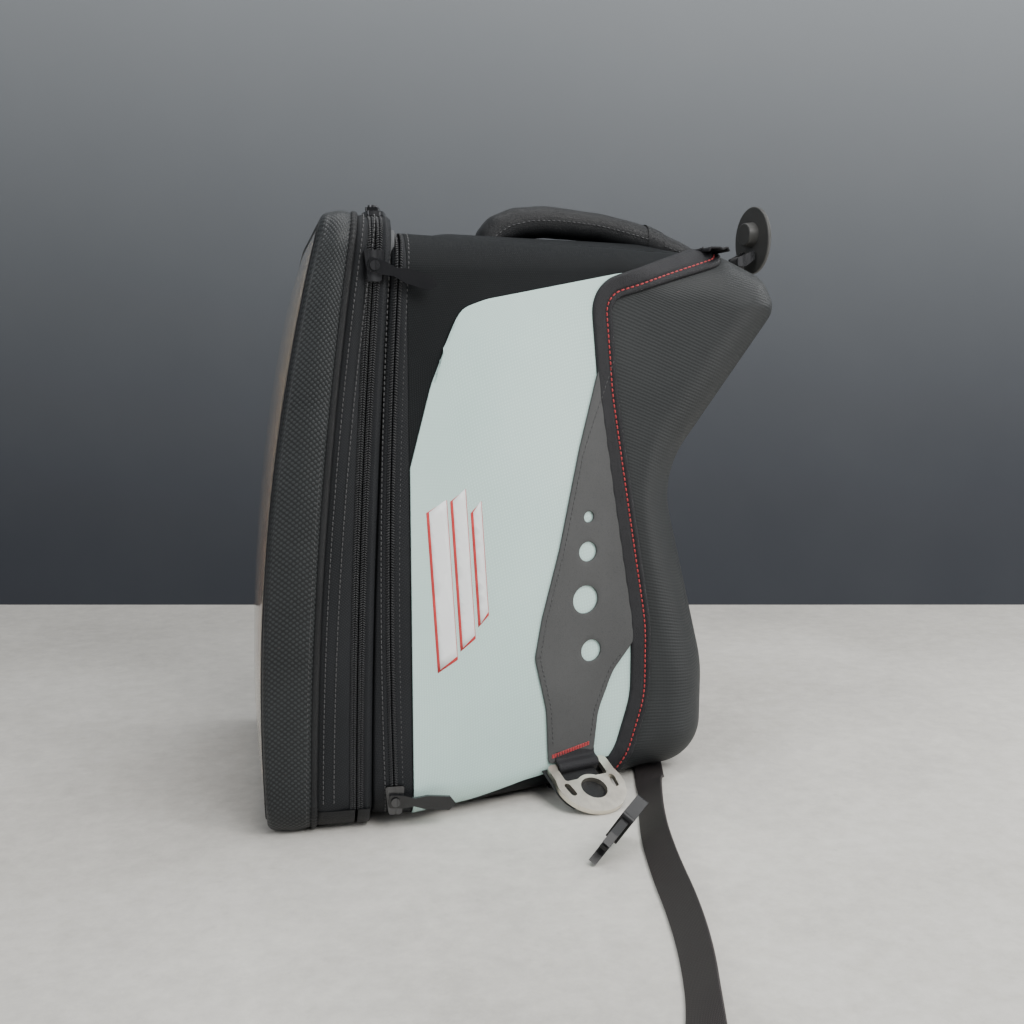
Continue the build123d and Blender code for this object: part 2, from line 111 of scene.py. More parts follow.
def distance_along(line):
    """How far along a line each of its points is."""
    return np.concatenate([[0], np.cumsum(np.linalg.norm(np.diff(line, axis=0), axis=1))])


def resampled(line, count):
    """The line again, with a count of evenly spaced points."""
    along = distance_along(line)
    at = np.linspace(0, along[-1], count)
    return np.stack([np.interp(at, along, line[:, k]) for k in range(line.shape[1])], axis=1)


def spaced(line, step):
    """The line again, with points about step apart."""
    return resampled(line, max(2, round(distance_along(line)[-1] / step) + 1))


def line_x(line, z):
    """The x of a side-view line at heights z, all in metres, by the parabola through its points."""
    (x0, z0), (x1, z1), (x2, z2) = [(x * MM, h * MM) for x, h in line]
    z = np.asarray(z, float)
    a = x0 * (z - z1) * (z - z2) / ((z0 - z1) * (z0 - z2))
    b = x1 * (z - z0) * (z - z2) / ((z1 - z0) * (z1 - z2))
    return a + b + x2 * (z - z0) * (z - z1) / ((z2 - z0) * (z2 - z1))


PROFILE_LINE = rounded(PROFILE, PROFILE_RADII)
SEAM_LINE = rounded(SEAM, SEAM_RADII)


def profile_distance(x, z):
    """How far side-view points are from the envelope's outline."""
    p = np.stack([x, z], axis=-1).reshape(-1, 1, 2)
    a, b = PROFILE_LINE[None, :-1], PROFILE_LINE[None, 1:]
    d = b - a
    t = np.clip(((p - a) * d).sum(-1) / (d * d).sum(-1), 0, 1)
    return np.linalg.norm(p - a - t[..., None] * d, axis=-1).min(axis=1).reshape(np.shape(x))


def eased(t):
    t = np.clip(t, 0, 1)
    return t * t * (3 - 2 * t)


def skin(x, z):
    """The half width of body and base at side-view points."""
    x, z = np.asarray(x, float), np.asarray(z, float)
    slope = (MOUTH_HALF - WAIST_HALF) / (WAIST_X - MOUTH_X)
    soft = 12 * MM
    wide = WAIST_HALF + slope * soft * np.logaddexp(0, (WAIST_X - x) / soft)
    share = np.clip((x - MOUTH_X) / (WAIST_X - MOUTH_X), 0, 1)
    radius = MOUTH_CORNER + (WAIST_CORNER - MOUTH_CORNER) * share
    radius = radius + BASE_SOFTNESS * eased((x - WAIST_X) / (45 * MM))
    away = profile_distance(x, z)
    puff = 3.0 * MM * np.clip(away / (70 * MM), 0, 1) * np.sin(math.pi * np.clip(share, 0, 1))
    return wide + puff - radius + np.sqrt(np.maximum(radius**2 - np.clip(radius - away, 0, None)**2, 0))


def skin_normal(x, z):
    """The outward unit normal of the near side at side-view points."""
    h = 0.4 * MM
    fx = (skin(x + h, z) - skin(x - h, z)) / (2 * h)
    fz = (skin(x, z + h) - skin(x, z - h)) / (2 * h)
    n = np.stack([-fx, -np.ones_like(fx), -fz], axis=-1)
    return n / np.linalg.norm(n, axis=-1, keepdims=True)


def on_skin(x, z, lift=0.0):
    """Points of the near side, lifted along its normal."""
    x, z = np.asarray(x, float), np.asarray(z, float)
    base = np.stack([x, -skin(x, z), z], axis=-1)
    return base + skin_normal(x, z) * np.asarray(lift)[..., None]


# ---------------------------------------------------------------- mesh helpers

def new_object(name, vertices, faces, material=None, smooth=True):
    mesh = bpy.data.meshes.new(name)
    vertices = [(v[0] + ORIGIN_SHIFT, v[1], v[2]) for v in vertices]
    mesh.from_pydata(vertices, [], [tuple(int(i) for i in f) for f in faces])
    mesh.validate()
    obj = bpy.data.objects.new(name, mesh)
    bpy.context.scene.collection.objects.link(obj)
    if smooth:
        mesh.polygons.foreach_set("use_smooth", [True] * len(mesh.polygons))
    if material:
        mesh.materials.append(material)
    return obj


def grid_faces(rows, columns):
    starts = [i * columns + j for i in range(rows - 1) for j in range(columns - 1)]
    return [(a, a + 1, a + columns + 1, a + columns) for a in starts]


def tidy_mesh(obj, merge):
    """Joins points closer than merge and turns the faces one way."""
    work = bmesh.new()
    work.from_mesh(obj.data)
    bmesh.ops.remove_doubles(work, verts=work.verts, dist=merge)
    bmesh.ops.dissolve_degenerate(work, edges=work.edges, dist=merge / 2)
    bmesh.ops.recalc_face_normals(work, faces=work.faces)
    work.to_mesh(obj.data)
    work.free()
    obj.data.polygons.foreach_set("use_smooth", [True] * len(obj.data.polygons))


def modifier(obj, kind, **settings):
    made = obj.modifiers.new(kind.lower(), kind)
    for key, value in settings.items():
        setattr(made, key, value)
    return made


def apply_all(obj):
    """Bakes the object's modifiers into its mesh."""
    depsgraph = bpy.context.evaluated_depsgraph_get()
    mesh = bpy.data.meshes.new_from_object(obj.evaluated_get(depsgraph))
    obj.modifiers.clear()
    obj.data = mesh


def face_out(obj):
    """Turns an open sheet's normals away from the bag's middle."""
    work = bmesh.new()
    work.from_mesh(obj.data)
    bmesh.ops.recalc_face_normals(work, faces=work.faces)
    if sum(f.calc_area() * f.normal.dot(f.calc_center_median() - BAG_MIDDLE) for f in work.faces) < 0:
        bmesh.ops.reverse_faces(work, faces=work.faces)
    work.to_mesh(obj.data)
    work.free()


def thicken(obj, thickness, bevel=0.0, lining=False):
    """Gives an outward-facing sheet a thickness inwards, and softens its edges."""
    face_out(obj)
    settings = dict(material_offset=1, material_offset_rim=0) if lining else {}
    modifier(obj, "SOLIDIFY", thickness=thickness, offset=-1.0, **settings)
    if bevel:
        modifier(obj, "BEVEL", width=bevel, segments=2, limit_method="ANGLE", angle_limit=math.radians(55))
    apply_all(obj)
    obj.data.polygons.foreach_set("use_smooth", [True] * len(obj.data.polygons))


def place(obj, body, slot_name, *nodes):
    """Rides a piece on its body and hides the CAD nodes that it stands for; its slot name is not used."""
    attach(obj, body)
    if nodes:
        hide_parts(*nodes)
    return obj


def mirrored(obj, name):
    """A mirror image across Y = 0."""
    mesh = obj.data.copy()
    mesh.transform(Matrix.Scale(-1, 4, (0, 1, 0)))
    mesh.flip_normals()
    twin = bpy.data.objects.new(name, mesh)
    bpy.context.scene.collection.objects.link(twin)
    return twin


def joined(name, objects):
    """One mesh from several, which are removed."""
    work = bmesh.new()
    materials = []
    for obj in objects:
        for material in obj.data.materials:
            if material not in materials:
                materials.append(material)
    for obj in objects:
        mesh = obj.data
        index = materials.index(mesh.materials[0]) if mesh.materials else 0
        mesh.transform(obj.matrix_world)
        start = len(work.faces)
        work.from_mesh(mesh)
        work.faces.ensure_lookup_table()
        for face in work.faces[start:]:
            face.material_index = index
    mesh = bpy.data.meshes.new(name)
    work.to_mesh(mesh)
    work.free()
    for material in materials:
        mesh.materials.append(material)
    for obj in objects:
        bpy.data.objects.remove(obj)
    obj = bpy.data.objects.new(name, mesh)
    bpy.context.scene.collection.objects.link(obj)
    return obj


def capsule_rings(radius, length):
    """Ring centres' shares and radii of a stitch that dives into the cloth at both ends."""
    shape = [(-0.5, 0.45, -0.9), (-0.42, 0.85, -0.1), (-0.2, 1.0, 0.35), (0.2, 1.0, 0.35), (0.42, 0.85, -0.1),
             (0.5, 0.45, -0.9)]
    return [(share * length, size * radius, rise * radius) for share, size, rise in shape]


def stitches(name, path, normals, pitch, length, radius, material, turn=0.0):
    """A row of stitches along a line of points on a surface."""
    along = distance_along(path)
    count = int(along[-1] / pitch)
    vertices, faces, sides = [], [], 6
    for i in range(count):
        at = (i + 0.5) * pitch
        here = np.array([np.interp(at, along, path[:, k]) for k in range(3)])
        ahead = np.array([np.interp(at + 0.5 * MM, along, path[:, k]) for k in range(3)])
        up = np.array([np.interp(at, along, normals[:, k]) for k in range(3)])
        forward = ahead - here
        forward /= max(np.linalg.norm(forward), 1e-9)
        side = np.cross(forward, up)
        side /= max(np.linalg.norm(side), 1e-9)
        up = np.cross(side, forward)
        forward, side = (forward * math.cos(turn) + side * math.sin(turn),
                         side * math.cos(turn) - forward * math.sin(turn))
        start = len(vertices)
        rings = capsule_rings(radius, length)
        for share, size, rise in rings:
            for k in range(sides):
                angle = 2 * math.pi * k / sides
                vertices.append(here + forward * share + up * (rise + size * math.sin(angle))
                                + side * size * math.cos(angle))
        for r in range(len(rings) - 1):
            for k in range(sides):
                a, b = start + r * sides + k, start + r * sides + (k + 1) % sides
                faces.append((a, b, b + sides, a + sides))
        faces.append(tuple(start + k for k in reversed(range(sides))))
        faces.append(tuple(start + (len(rings) - 1) * sides + k for k in range(sides)))
    return new_object(name, vertices, faces, material)


# ---------------------------------------------------------------- materials

class Nodes:
    """A short way to write a Principled material's node tree."""

    def __init__(self, name, colour, rough, **settings):
        self.material = bpy.data.materials.new(name)
        self.material.use_nodes = True
        self.tree = self.material.node_tree
        self.shader = self.tree.nodes["Principled BSDF"]
        self.shader.inputs["Base Color"].default_value = (*colour, 1)
        self.shader.inputs["Roughness"].default_value = rough
        self.heights = []
        for key, value in settings.items():
            self.shader.inputs[key.replace("_", " ")].default_value = value

    def node(self, kind, inputs=None, **settings):
        made = self.tree.nodes.new(kind)
        for key, value in settings.items():
            setattr(made, key, value)
        for key, value in (inputs or {}).items():
            if isinstance(value, bpy.types.NodeSocket):
                self.tree.links.new(value, made.inputs[key])
            else:
                made.inputs[key].default_value = value
        return made

    def math(self, operation, a, b=0.0, c=0.0):
        return self.node("ShaderNodeMath", {0: a, 1: b, 2: c}, operation=operation).outputs[0]

    def object_space(self):
        return self.node("ShaderNodeTexCoord").outputs["Object"]

    def cloth_space(self):
        """The piece's own UV coordinates, in metres along its surface."""
        return self.node("ShaderNodeUVMap", uv_map="cloth").outputs[0]

    def turned(self, space, angle):
        inputs = {"Vector": space, "Angle": angle}
        return self.node("ShaderNodeVectorRotate", inputs, rotation_type="Z_AXIS").outputs[0]

    def noise(self, space, scale, detail=3.0, rough=0.6):
        inputs = {"Vector": space, "Scale": scale, "Detail": detail, "Roughness": rough}
        return self.node("ShaderNodeTexNoise", inputs).outputs[0]

    def voronoi(self, space, scale, randomness=1.0, feature="F1", dimensions="3D"):
        inputs = {"Vector": space, "Scale": scale, "Randomness": randomness}
        made = self.node("ShaderNodeTexVoronoi", inputs, voronoi_dimensions=dimensions, feature=feature)
        return made.outputs["Distance"]

    def wave(self, space, axis, pitch):
        """0 to 1 once per pitch along an axis of a space, as a sine."""
        part = self.node("ShaderNodeSeparateXYZ", {0: space}).outputs[axis]
        turn = self.math("MULTIPLY_ADD", part, 2 * math.pi / pitch, 0.0)
        return self.math("MULTIPLY_ADD", self.math("SINE", turn), 0.5, 0.5)

    def remap(self, value, low, high, to_low, to_high):
        inputs = {"Value": value, "From Min": low, "From Max": high, "To Min": to_low, "To Max": to_high}
        return self.node("ShaderNodeMapRange", inputs).outputs[0]

    def tint(self, factor, low, high):
        """The base colour between two colours by a factor."""
        mix = self.node("ShaderNodeMix", data_type="RGBA")
        self.tree.links.new(factor, mix.inputs[0])
        mix.inputs[6].default_value = (*low, 1)
        mix.inputs[7].default_value = (*high, 1)
        self.tree.links.new(mix.outputs[2], self.shader.inputs["Base Color"])

    def roughen(self, factor, low, high):
        self.tree.links.new(self.remap(factor, 0, 1, low, high), self.shader.inputs["Roughness"])

    def bump(self, height, strength, distance):
        """Adds a bump under those before it."""
        inputs = {"Height": height, "Strength": strength, "Distance": distance}
        if self.heights:
            inputs["Normal"] = self.heights[-1]
        self.heights.append(self.node("ShaderNodeBump", inputs).outputs[0])
        self.tree.links.new(self.heights[-1], self.shader.inputs["Normal"])


def dotted_textile():
    """Coated black textile with an embossed diagonal dot pattern."""
    m = Nodes("dotted_textile", (0.028, 0.032, 0.036), 0.42, Specular_IOR_Level=0.3)
    space = m.turned(m.cloth_space(), math.radians(45))
    dots = m.voronoi(space, 1 / (2.3 * MM), 0.0, dimensions="2D")
    raised = m.remap(dots, 0.2, 0.46, 1, 0)
    wear = m.noise(m.object_space(), 22, 5)
    tone = m.math("MULTIPLY_ADD", raised, 0.55, m.math("MULTIPLY", wear, 0.5))
    m.tint(tone, (0.003, 0.0035, 0.004), (0.036, 0.040, 0.042))
    m.roughen(m.noise(m.object_space(), 60, 4), 0.30, 0.52)
    m.bump(raised, 0.55, 0.35 * MM)
    m.bump(m.noise(m.object_space(), 35, 3), 0.25, 1.2 * MM)
    return m.material


def woven(name, low, high, pitch, rough, strength=0.5, slope=0.0, gloss=0.4):
    """A plain weave whose yarns run along the cloth's own directions."""
    m = Nodes(name, low, rough, Specular_IOR_Level=gloss)
    space = m.turned(m.cloth_space(), slope)
    over = m.wave(space, 0, pitch)
    under = m.wave(space, 1, pitch)
    weave = m.math("MULTIPLY", over, under)
    patches = m.noise(m.object_space(), 14, 4)
    m.tint(m.math("MULTIPLY_ADD", weave, 0.45, m.math("MULTIPLY", patches, 0.6)), low, high)
    m.roughen(patches, rough - 0.09, rough + 0.09)
    m.bump(weave, strength, 0.18 * MM)
    m.bump(m.noise(m.object_space(), 26, 3), 0.2, 1.5 * MM)
    return m.material


def webbing_cloth(name, low, high, pitch=1.5 * MM):
    """Ribbed strap webbing with a chevron twill."""
    m = Nodes(name, low, 0.62, Specular_IOR_Level=0.35)
    ribs = m.wave(m.cloth_space(), 0, pitch)
    twill = m.wave(m.turned(m.cloth_space(), math.radians(38)), 1, 1.1 * MM)
    yarn = m.math("MULTIPLY", ribs, m.math("MULTIPLY_ADD", twill, 0.6, 0.4))
    m.tint(yarn, low, high)
    m.bump(yarn, 0.7, 0.3 * MM)
    m.bump(m.noise(m.object_space(), 900, 2), 0.25, 0.1 * MM)
    return m.material


def leather(name, low, high, grain, rough, depth=0.25):
    m = Nodes(name, low, rough, Specular_IOR_Level=0.18)
    cells = m.voronoi(m.object_space(), 1 / grain, 1.0, "DISTANCE_TO_EDGE")
    pebble = m.remap(cells, 0.0, 0.12, 0, 1)
    clouds = m.noise(m.object_space(), 18, 5)
    m.tint(m.math("MULTIPLY_ADD", pebble, 0.35, m.math("MULTIPLY", clouds, 0.6)), low, high)
    m.roughen(m.noise(m.object_space(), 90, 4), rough - 0.08, rough + 0.10)
    m.bump(pebble, 0.5, depth * MM)
    m.bump(m.noise(m.object_space(), 45, 4), 0.3, 0.8 * MM)
    return m.material


def ribbed_base():
    """Moulded foam face with fine ribs across it and a dusty bloom on its curves."""
    m = Nodes("moulded_base", (0.03, 0.032, 0.034), 0.5, Specular_IOR_Level=0.22)
    space = m.cloth_space()
    ribs = m.wave(space, 1, 2.2 * MM)
    pins = m.wave(space, 0, 2.2 * MM)
    pattern = m.math("MULTIPLY_ADD", pins, 0.15, m.math("MULTIPLY", ribs, 0.75))
    dust = m.noise(m.object_space(), 11, 6, 0.65)
    m.tint(m.math("MULTIPLY_ADD", pattern, 0.3, m.math("MULTIPLY", dust, 0.75)), (0.010, 0.011, 0.012),
           (0.036, 0.039, 0.040))
    m.roughen(dust, 0.42, 0.62)
    m.bump(pattern, 0.5, 0.28 * MM)
    m.bump(m.noise(m.object_space(), 300, 3), 0.2, 0.2 * MM)
    return m.material


def metal(name, low, high, rough, scratch=240):
    m = Nodes(name, high, rough, Metallic=1.0)
    stretched = m.node("ShaderNodeMapping", {"Vector": m.object_space(), "Scale": (1, 1, 0.12)}).outputs[0]
    marks = m.noise(stretched, scratch, 5, 0.7)
    m.tint(marks, low, high)
    m.roughen(marks, rough - 0.07, rough + 0.12)
    m.bump(marks, 0.12, 0.1 * MM)
    return m.material


def moulded(name, low, high, rough, grain=900, coat=0.0):
    m = Nodes(name, low, rough, Specular_IOR_Level=0.36, Coat_Weight=coat, Coat_Roughness=0.12)
    fine = m.noise(m.object_space(), grain, 2)
    wear = m.noise(m.object_space(), 40, 5)
    m.tint(wear, low, high)
    m.roughen(wear, rough - 0.06, rough + 0.10)
    m.bump(fine, 0.18, 0.08 * MM)
    return m.material


def thread(name, colour):
    m = Nodes(name, colour, 0.5, Sheen_Weight=0.2)
    ply = m.wave(m.turned(m.object_space(), 0.6), 2, 0.5 * MM)
    darker = tuple(c * 0.62 for c in colour)
    m.tint(ply, darker, colour)
    m.bump(ply, 0.4, 0.1 * MM)
    return m.material


def card_print_and_painted_light():
    """The lid's printed outer card: brick-red print, with painted light that lightens it to cream towards its
    top.
    """
    m = Nodes("card_print_and_painted_light", (0.6, 0.2, 0.1), 0.3, Coat_Weight=0.8, Coat_Roughness=0.08)
    height = m.node("ShaderNodeSeparateXYZ", {0: m.object_space()}).outputs[2]
    # painted light: the ramp by height turns the brick-red print to cream towards the top, where the light
    # falls
    share = m.math("MULTIPLY_ADD", m.noise(m.object_space(), 7, 3), 0.10, m.math("DIVIDE", height, LID_TOP))
    ramp = m.node("ShaderNodeValToRGB", {0: share})
    stops = [(0.05, (0.17, 0.016, 0.010)), (0.34, (0.30, 0.040, 0.022)), (0.58, (0.42, 0.20, 0.10)),
             (0.78, (0.60, 0.42, 0.26)), (1.0, (0.80, 0.70, 0.54))]
    for i, (at, colour) in enumerate(stops):
        element = ramp.color_ramp.elements[i] if i < 2 else ramp.color_ramp.elements.new(at)
        element.position = at
        element.color = (*colour, 1)
    m.tree.links.new(ramp.outputs[0], m.shader.inputs["Base Color"])
    m.bump(m.noise(m.object_space(), 30, 3), 0.12, 1 * MM)
    return m.material


def clear_sheet():
    """Flexible clear film."""
    m = Nodes("clear_window", (0.96, 0.90, 0.80), 0.07, Transmission_Weight=0.92, IOR=1.3)
    ripple = m.noise(m.object_space(), 24, 3)
    m.tint(ripple, (0.93, 0.86, 0.74), (1.0, 0.95, 0.86))
    m.bump(ripple, 0.3, 1.5 * MM)
    return m.material


def concrete():
    """The pale floor under the bag."""
    m = Nodes("floor_concrete", (0.5, 0.49, 0.47), 0.75, Specular_IOR_Level=0.25)
    space = m.object_space()
    clouds = m.noise(space, 3.2, 8, 0.62)
    speckle = m.noise(space, 70, 6, 0.75)
    pits = m.remap(m.voronoi(space, 46), 0.03, 0.11, 0, 1)
    tone = m.math("MULTIPLY_ADD", speckle, 0.45, m.math("MULTIPLY", clouds, 0.75))
    m.tint(m.math("MULTIPLY", m.remap(tone, 0.35, 0.85, 0, 1), m.math("MULTIPLY_ADD", pits, 0.25, 0.75)),
           (0.40, 0.385, 0.355), (0.74, 0.72, 0.67))
    m.bump(speckle, 0.3, 1.2 * MM)
    return m.material


def wall_and_painted_light():
    m = Nodes("wall_and_painted_light", (0.1, 0.11, 0.12), 0.85, Specular_IOR_Level=0.15)
    clouds = m.noise(m.object_space(), 2.2, 5)
    height = m.node("ShaderNodeSeparateXYZ", {0: m.object_space()}).outputs[2]
    # painted light: the backdrop is painted dark at its foot and lighter towards its top, as the lamps would
    # light it
    share = m.math("POWER", m.remap(height, 0.05, 0.85, 0.0, 1.0), 1.7)
    m.tint(m.math("MULTIPLY_ADD", clouds, 0.12, share), (0.030, 0.033, 0.041), (0.235, 0.250, 0.262))
    m.bump(m.noise(m.object_space(), 160, 3), 0.08, 0.5 * MM)
    return m.material


DOTTED = dotted_textile()
BLACK_CLOTH = woven("black_textile", (0.003, 0.0035, 0.004), (0.014, 0.016, 0.0175), 1.5 * MM, 0.55,
                    gloss=0.10)
PALE = woven("pale_tarpaulin", (0.40, 0.56, 0.53), (0.60, 0.77, 0.72), 2.0 * MM, 0.40, 0.28, gloss=0.5)
TAPE_CLOTH = woven("zip_tape", (0.004, 0.005, 0.006), (0.024, 0.025, 0.028), 1.3 * MM, 0.55, 0.7, 0.6, 0.2)
COIL = moulded("zip_coil", (0.010, 0.010, 0.011), (0.034, 0.035, 0.037), 0.30)
PIPING_SKIN = leather("black_vinyl", (0.007, 0.007, 0.008), (0.026, 0.027, 0.028), 1.4 * MM, 0.38)
TRIM_LEATHER = leather("trim_leather", (0.008, 0.008, 0.009), (0.030, 0.030, 0.033), 1.3 * MM, 0.52)
TAB_LEATHER = leather("tab_leather", (0.042, 0.043, 0.043), (0.090, 0.091, 0.092), 0.9 * MM, 0.46, 0.12)
BASE_FOAM = ribbed_base()
WEBBING_CLOTH = webbing_cloth("webbing", (0.012, 0.012, 0.013), (0.070, 0.066, 0.066))
STRAP_CLOTH = webbing_cloth("strap_webbing", (0.018, 0.015, 0.015), (0.046, 0.039, 0.039), 0.8 * MM)
LINING_CLOTH = woven("lining", (0.045, 0.047, 0.050), (0.10, 0.105, 0.11), 1.0 * MM, 0.6, 0.4)
SATIN = metal("satin_metal", (0.62, 0.58, 0.50), (0.93, 0.88, 0.78), 0.30)
DARK_METAL = metal("dark_metal", (0.03, 0.03, 0.032), (0.16, 0.16, 0.165), 0.26)
BLACK_PLASTIC = moulded("black_plastic", (0.026, 0.026, 0.025), (0.066, 0.066, 0.063), 0.42)
GLOSS_PLASTIC = moulded("gloss_plastic", (0.005, 0.005, 0.006), (0.014, 0.014, 0.015), 0.20, 500, 0.35)
BUCKLE_PLASTIC = moulded("buckle_plastic", (0.004, 0.004, 0.0045), (0.012, 0.012, 0.013), 0.36, 500)
CARD = card_print_and_painted_light()
CLEAR = clear_sheet()
BLACK_THREAD = thread("black_thread", (0.045, 0.045, 0.047))
RED_THREAD = thread("red_thread", (0.50, 0.030, 0.035))
MARK_WHITE = moulded("mark_white", (0.74, 0.76, 0.76), (0.88, 0.90, 0.90), 0.36, 500)
MARK_RED = moulded("mark_red", (0.50, 0.035, 0.040), (0.66, 0.060, 0.060), 0.38, 500)


# ---------------------------------------------------------------- surfaces with cloth coordinates

def add_cloth_map(obj, rows, columns, points):
    """UVs in metres along a grid's own rows and columns."""
    across = np.linalg.norm(np.diff(points, axis=1), axis=2)
    down = np.linalg.norm(np.diff(points, axis=0), axis=2)
    u = np.concatenate([np.zeros((rows, 1)), np.cumsum(across, axis=1)], axis=1)
    u -= u.mean(axis=1, keepdims=True)
    v = np.concatenate([[0], np.cumsum(down.mean(axis=1))])[:, None] + 0 * u
    layer = obj.data.uv_layers.new(name="cloth")
    for loop in obj.data.loops:
        i, j = divmod(loop.vertex_index, columns)
        layer.data[loop.index].uv = (u[i, j], v[i, j])


def cloth_grid(name, points, material, close_columns=False):
    """A grid mesh with cloth coordinates; a closed one repeats its first column as the map's seam."""
    if close_columns:
        points = np.concatenate([points, points[:, :1]], axis=1)
    rows, columns = points.shape[:2]
    obj = new_object(name, points.reshape(-1, 3), grid_faces(rows, columns), material)
    add_cloth_map(obj, rows, columns, points)
    tidy_mesh(obj, GRID_MERGE)
    return obj


def patch(left, right, bottom, top, rows, columns, ease=0.0):
    """A Coons patch of side-view points between four border lines; ease crowds the points to the borders."""
    def spread(count):
        t = np.linspace(0, 1, count)
        return t - ease * np.sin(2 * math.pi * t) / (2 * math.pi)
    def along(line, t):
        step = distance_along(line)
        return np.stack([np.interp(t * step[-1], step, line[:, k]) for k in range(2)], axis=1)
    v, u = spread(rows), spread(columns)
    left, right = along(left, v)[:, None], along(right, v)[:, None]
    bottom, top = along(bottom, u)[None], along(top, u)[None]
    u, v = u[None, :, None], v[:, None, None]
    corners = (1 - u) * (1 - v) * left[0, 0] + u * (1 - v) * right[0, 0] + (1 - u) * v * left[-1, 0]
    corners = corners + u * v * right[-1, 0]
    return (1 - u) * left + u * right + (1 - v) * bottom + v * top - corners


def line_part(line, start, end):
    """The stretch of a line between the points nearest to two places."""
    i = int(np.argmin(np.linalg.norm(line - np.array(start) * MM, axis=1)))
    j = int(np.argmin(np.linalg.norm(line - np.array(end) * MM, axis=1)))
    return line[i:j + 1] if i <= j else line[j:i + 1][::-1]


def offset_line(line, distance):
    """A side-view line moved to the left of its direction."""
    tangent = np.gradient(line, axis=0)
    tangent /= np.linalg.norm(tangent, axis=1, keepdims=True)
    return line + np.stack([-tangent[:, 1], tangent[:, 0]], axis=1) * distance


def straight(a, b, step=3 * MM):
    return spaced(np.array([a, b], float) * MM, step)


# ---------------------------------------------------------------- body and base skin

def channel_depth(y):
    """How far the tank channel sinks the base's face at half width y."""
    depth, half = 22 * MM, 46 * MM
    t = np.clip((half + 7 * MM - np.abs(y)) / (12 * MM), 0, 1)
    return depth * t * t * (3 - 2 * t)


def skin_shell(name, side, border, material, sink=None):
    """Both side patches joined by a strip over the border line, whose points run round the envelope."""
    near = on_skin(side[..., 0], side[..., 1])
    pieces = [cloth_grid(name + "_near_part", near, material)]
    far = near * np.array([1, -1, 1])
    pieces.append(cloth_grid(name + "_far_part", far[:, ::-1], material))
    edge = skin(border[:, 0], border[:, 1])
    flank = np.linspace(0.35, 1, 16)
    share = np.concatenate([-flank[::-1], np.linspace(-0.33, 0.33, 14), flank])
    y = edge[:, None] * share[None, :]
    points = np.stack([border[:, 0][:, None] + 0 * y, y, border[:, 1][:, None] + 0 * y], axis=-1)
    crown = eased((points[..., 0] + 84 * MM) / (40 * MM)) * eased((136 * MM - points[..., 0]) / (50 * MM))
    points[..., 2] += TOP_CROWN * crown * (1 - share**2) * (points[..., 2] > 200 * MM) * (sink is None)
    if sink is not None:
        tangent = np.gradient(border, axis=0)
        tangent /= np.linalg.norm(tangent, axis=1, keepdims=True)
        inward = np.stack([-tangent[:, 1], tangent[:, 0]], axis=1)
        depth = channel_depth(y) * sink[:, None]
        points[..., 0] += inward[:, 0][:, None] * depth
        points[..., 2] += inward[:, 1][:, None] * depth
    pieces.append(cloth_grid(name + "_strip_part", points, material))
    shell = joined(name, pieces)
    tidy_mesh(shell, SEAM_MERGE)
    return shell


FOOT_SEAM, HEAD_SEAM = (58, 3), (134, 361)
foot_corner, head_corner = (124, 12), (160, 353)
bottom_line = line_part(PROFILE_LINE, (-84, 3), FOOT_SEAM)
top_line = line_part(PROFILE_LINE, (-84, 366), HEAD_SEAM)
seam_inside = SEAM_LINE.copy()
seam_inside[0], seam_inside[-1] = bottom_line[-1], top_line[-1]
mouth_line = straight((-84, 3), (-84, 366))
body_side = patch(mouth_line, seam_inside, bottom_line, top_line, 150, 84, 0.75)
body_skin = skin_shell("body_skin_bottom", body_side, bottom_line, BLACK_CLOTH)
top_strip = skin_shell("body_skin_top", body_side[-2:], top_line, BLACK_CLOTH)
body_skin = joined("body_skin", [body_skin, top_strip])
tidy_mesh(body_skin, SEAM_MERGE)
body_skin.data.materials.append(LINING_CLOTH)
thicken(body_skin, 2.6 * MM, lining=True)
place(body_skin, "bag", "black_textile", "body_shell", "body_lining")

right_line = line_part(PROFILE_LINE, foot_corner, head_corner)
base_bottom = line_part(PROFILE_LINE, FOOT_SEAM, foot_corner)
base_top = line_part(PROFILE_LINE, HEAD_SEAM, head_corner)
base_side = patch(seam_inside, right_line, base_bottom, base_top, 170, 60, 0.75)
base_border = np.concatenate([base_bottom, right_line[1:-1], base_top[::-1]])
run = distance_along(base_border)
ends = np.clip(np.minimum(run, run[-1] - run) / (60 * MM) - 0.25, 0, 1)
base_skin = skin_shell("base_skin", base_side, base_border, BASE_FOAM, ends * ends * (3 - 2 * ends))
thicken(base_skin, 3.0 * MM)
place(base_skin, "bag", "moulded_base", "base_shell")


# ---------------------------------------------------------------- side panel, tab, trim and their stitching

def lifted_panel(name, side, lift, material, thickness):
    """A sheet on the near side of the skin, given a thickness and a soft edge."""
    points = on_skin(side[..., 0], side[..., 1], np.full(side.shape[:2], lift))
    panel = cloth_grid(name, points, material)
    thicken(panel, thickness, thickness * 0.35)
    return panel


def both_sides(obj, name, body, slot_name, *near_nodes):
    """Places a near-side piece and its mirror image, each for the CAD nodes of its side."""
    obj.name = name + "_near_skin"
    twin = mirrored(obj, name + "_far_skin")
    place(obj, body, slot_name, *[node + "_near" for node in near_nodes])
    place(twin, body, slot_name, *[node + "_far" for node in near_nodes])
    return obj, twin


# the seam runs upwards, so its left is the lid side
panel_right = line_part(offset_line(SEAM_LINE, 4 * MM), (62, 24), (88, 348))
panel_left = straight((-83.6, 6), (-83.6, 226))
panel_bottom = rounded([(-83.6, 6), (-44, 9), (-8, 16.5), panel_right[0] / MM], [60, 60])
panel_top = rounded([(-83.6, 226), (-70, 276), (-51, 321), (-34, 327), (60, 345.5), panel_right[-1] / MM],
                    [60, 14, 10, 60])
pale_side = patch(panel_left, panel_right, panel_bottom, panel_top, 120, 70)
pale_panel = lifted_panel("pale_panel", pale_side, 0.9 * MM, PALE, 0.9 * MM)
both_sides(pale_panel, "pale_panel", "bag", "pale_tarpaulin", "side_panel")

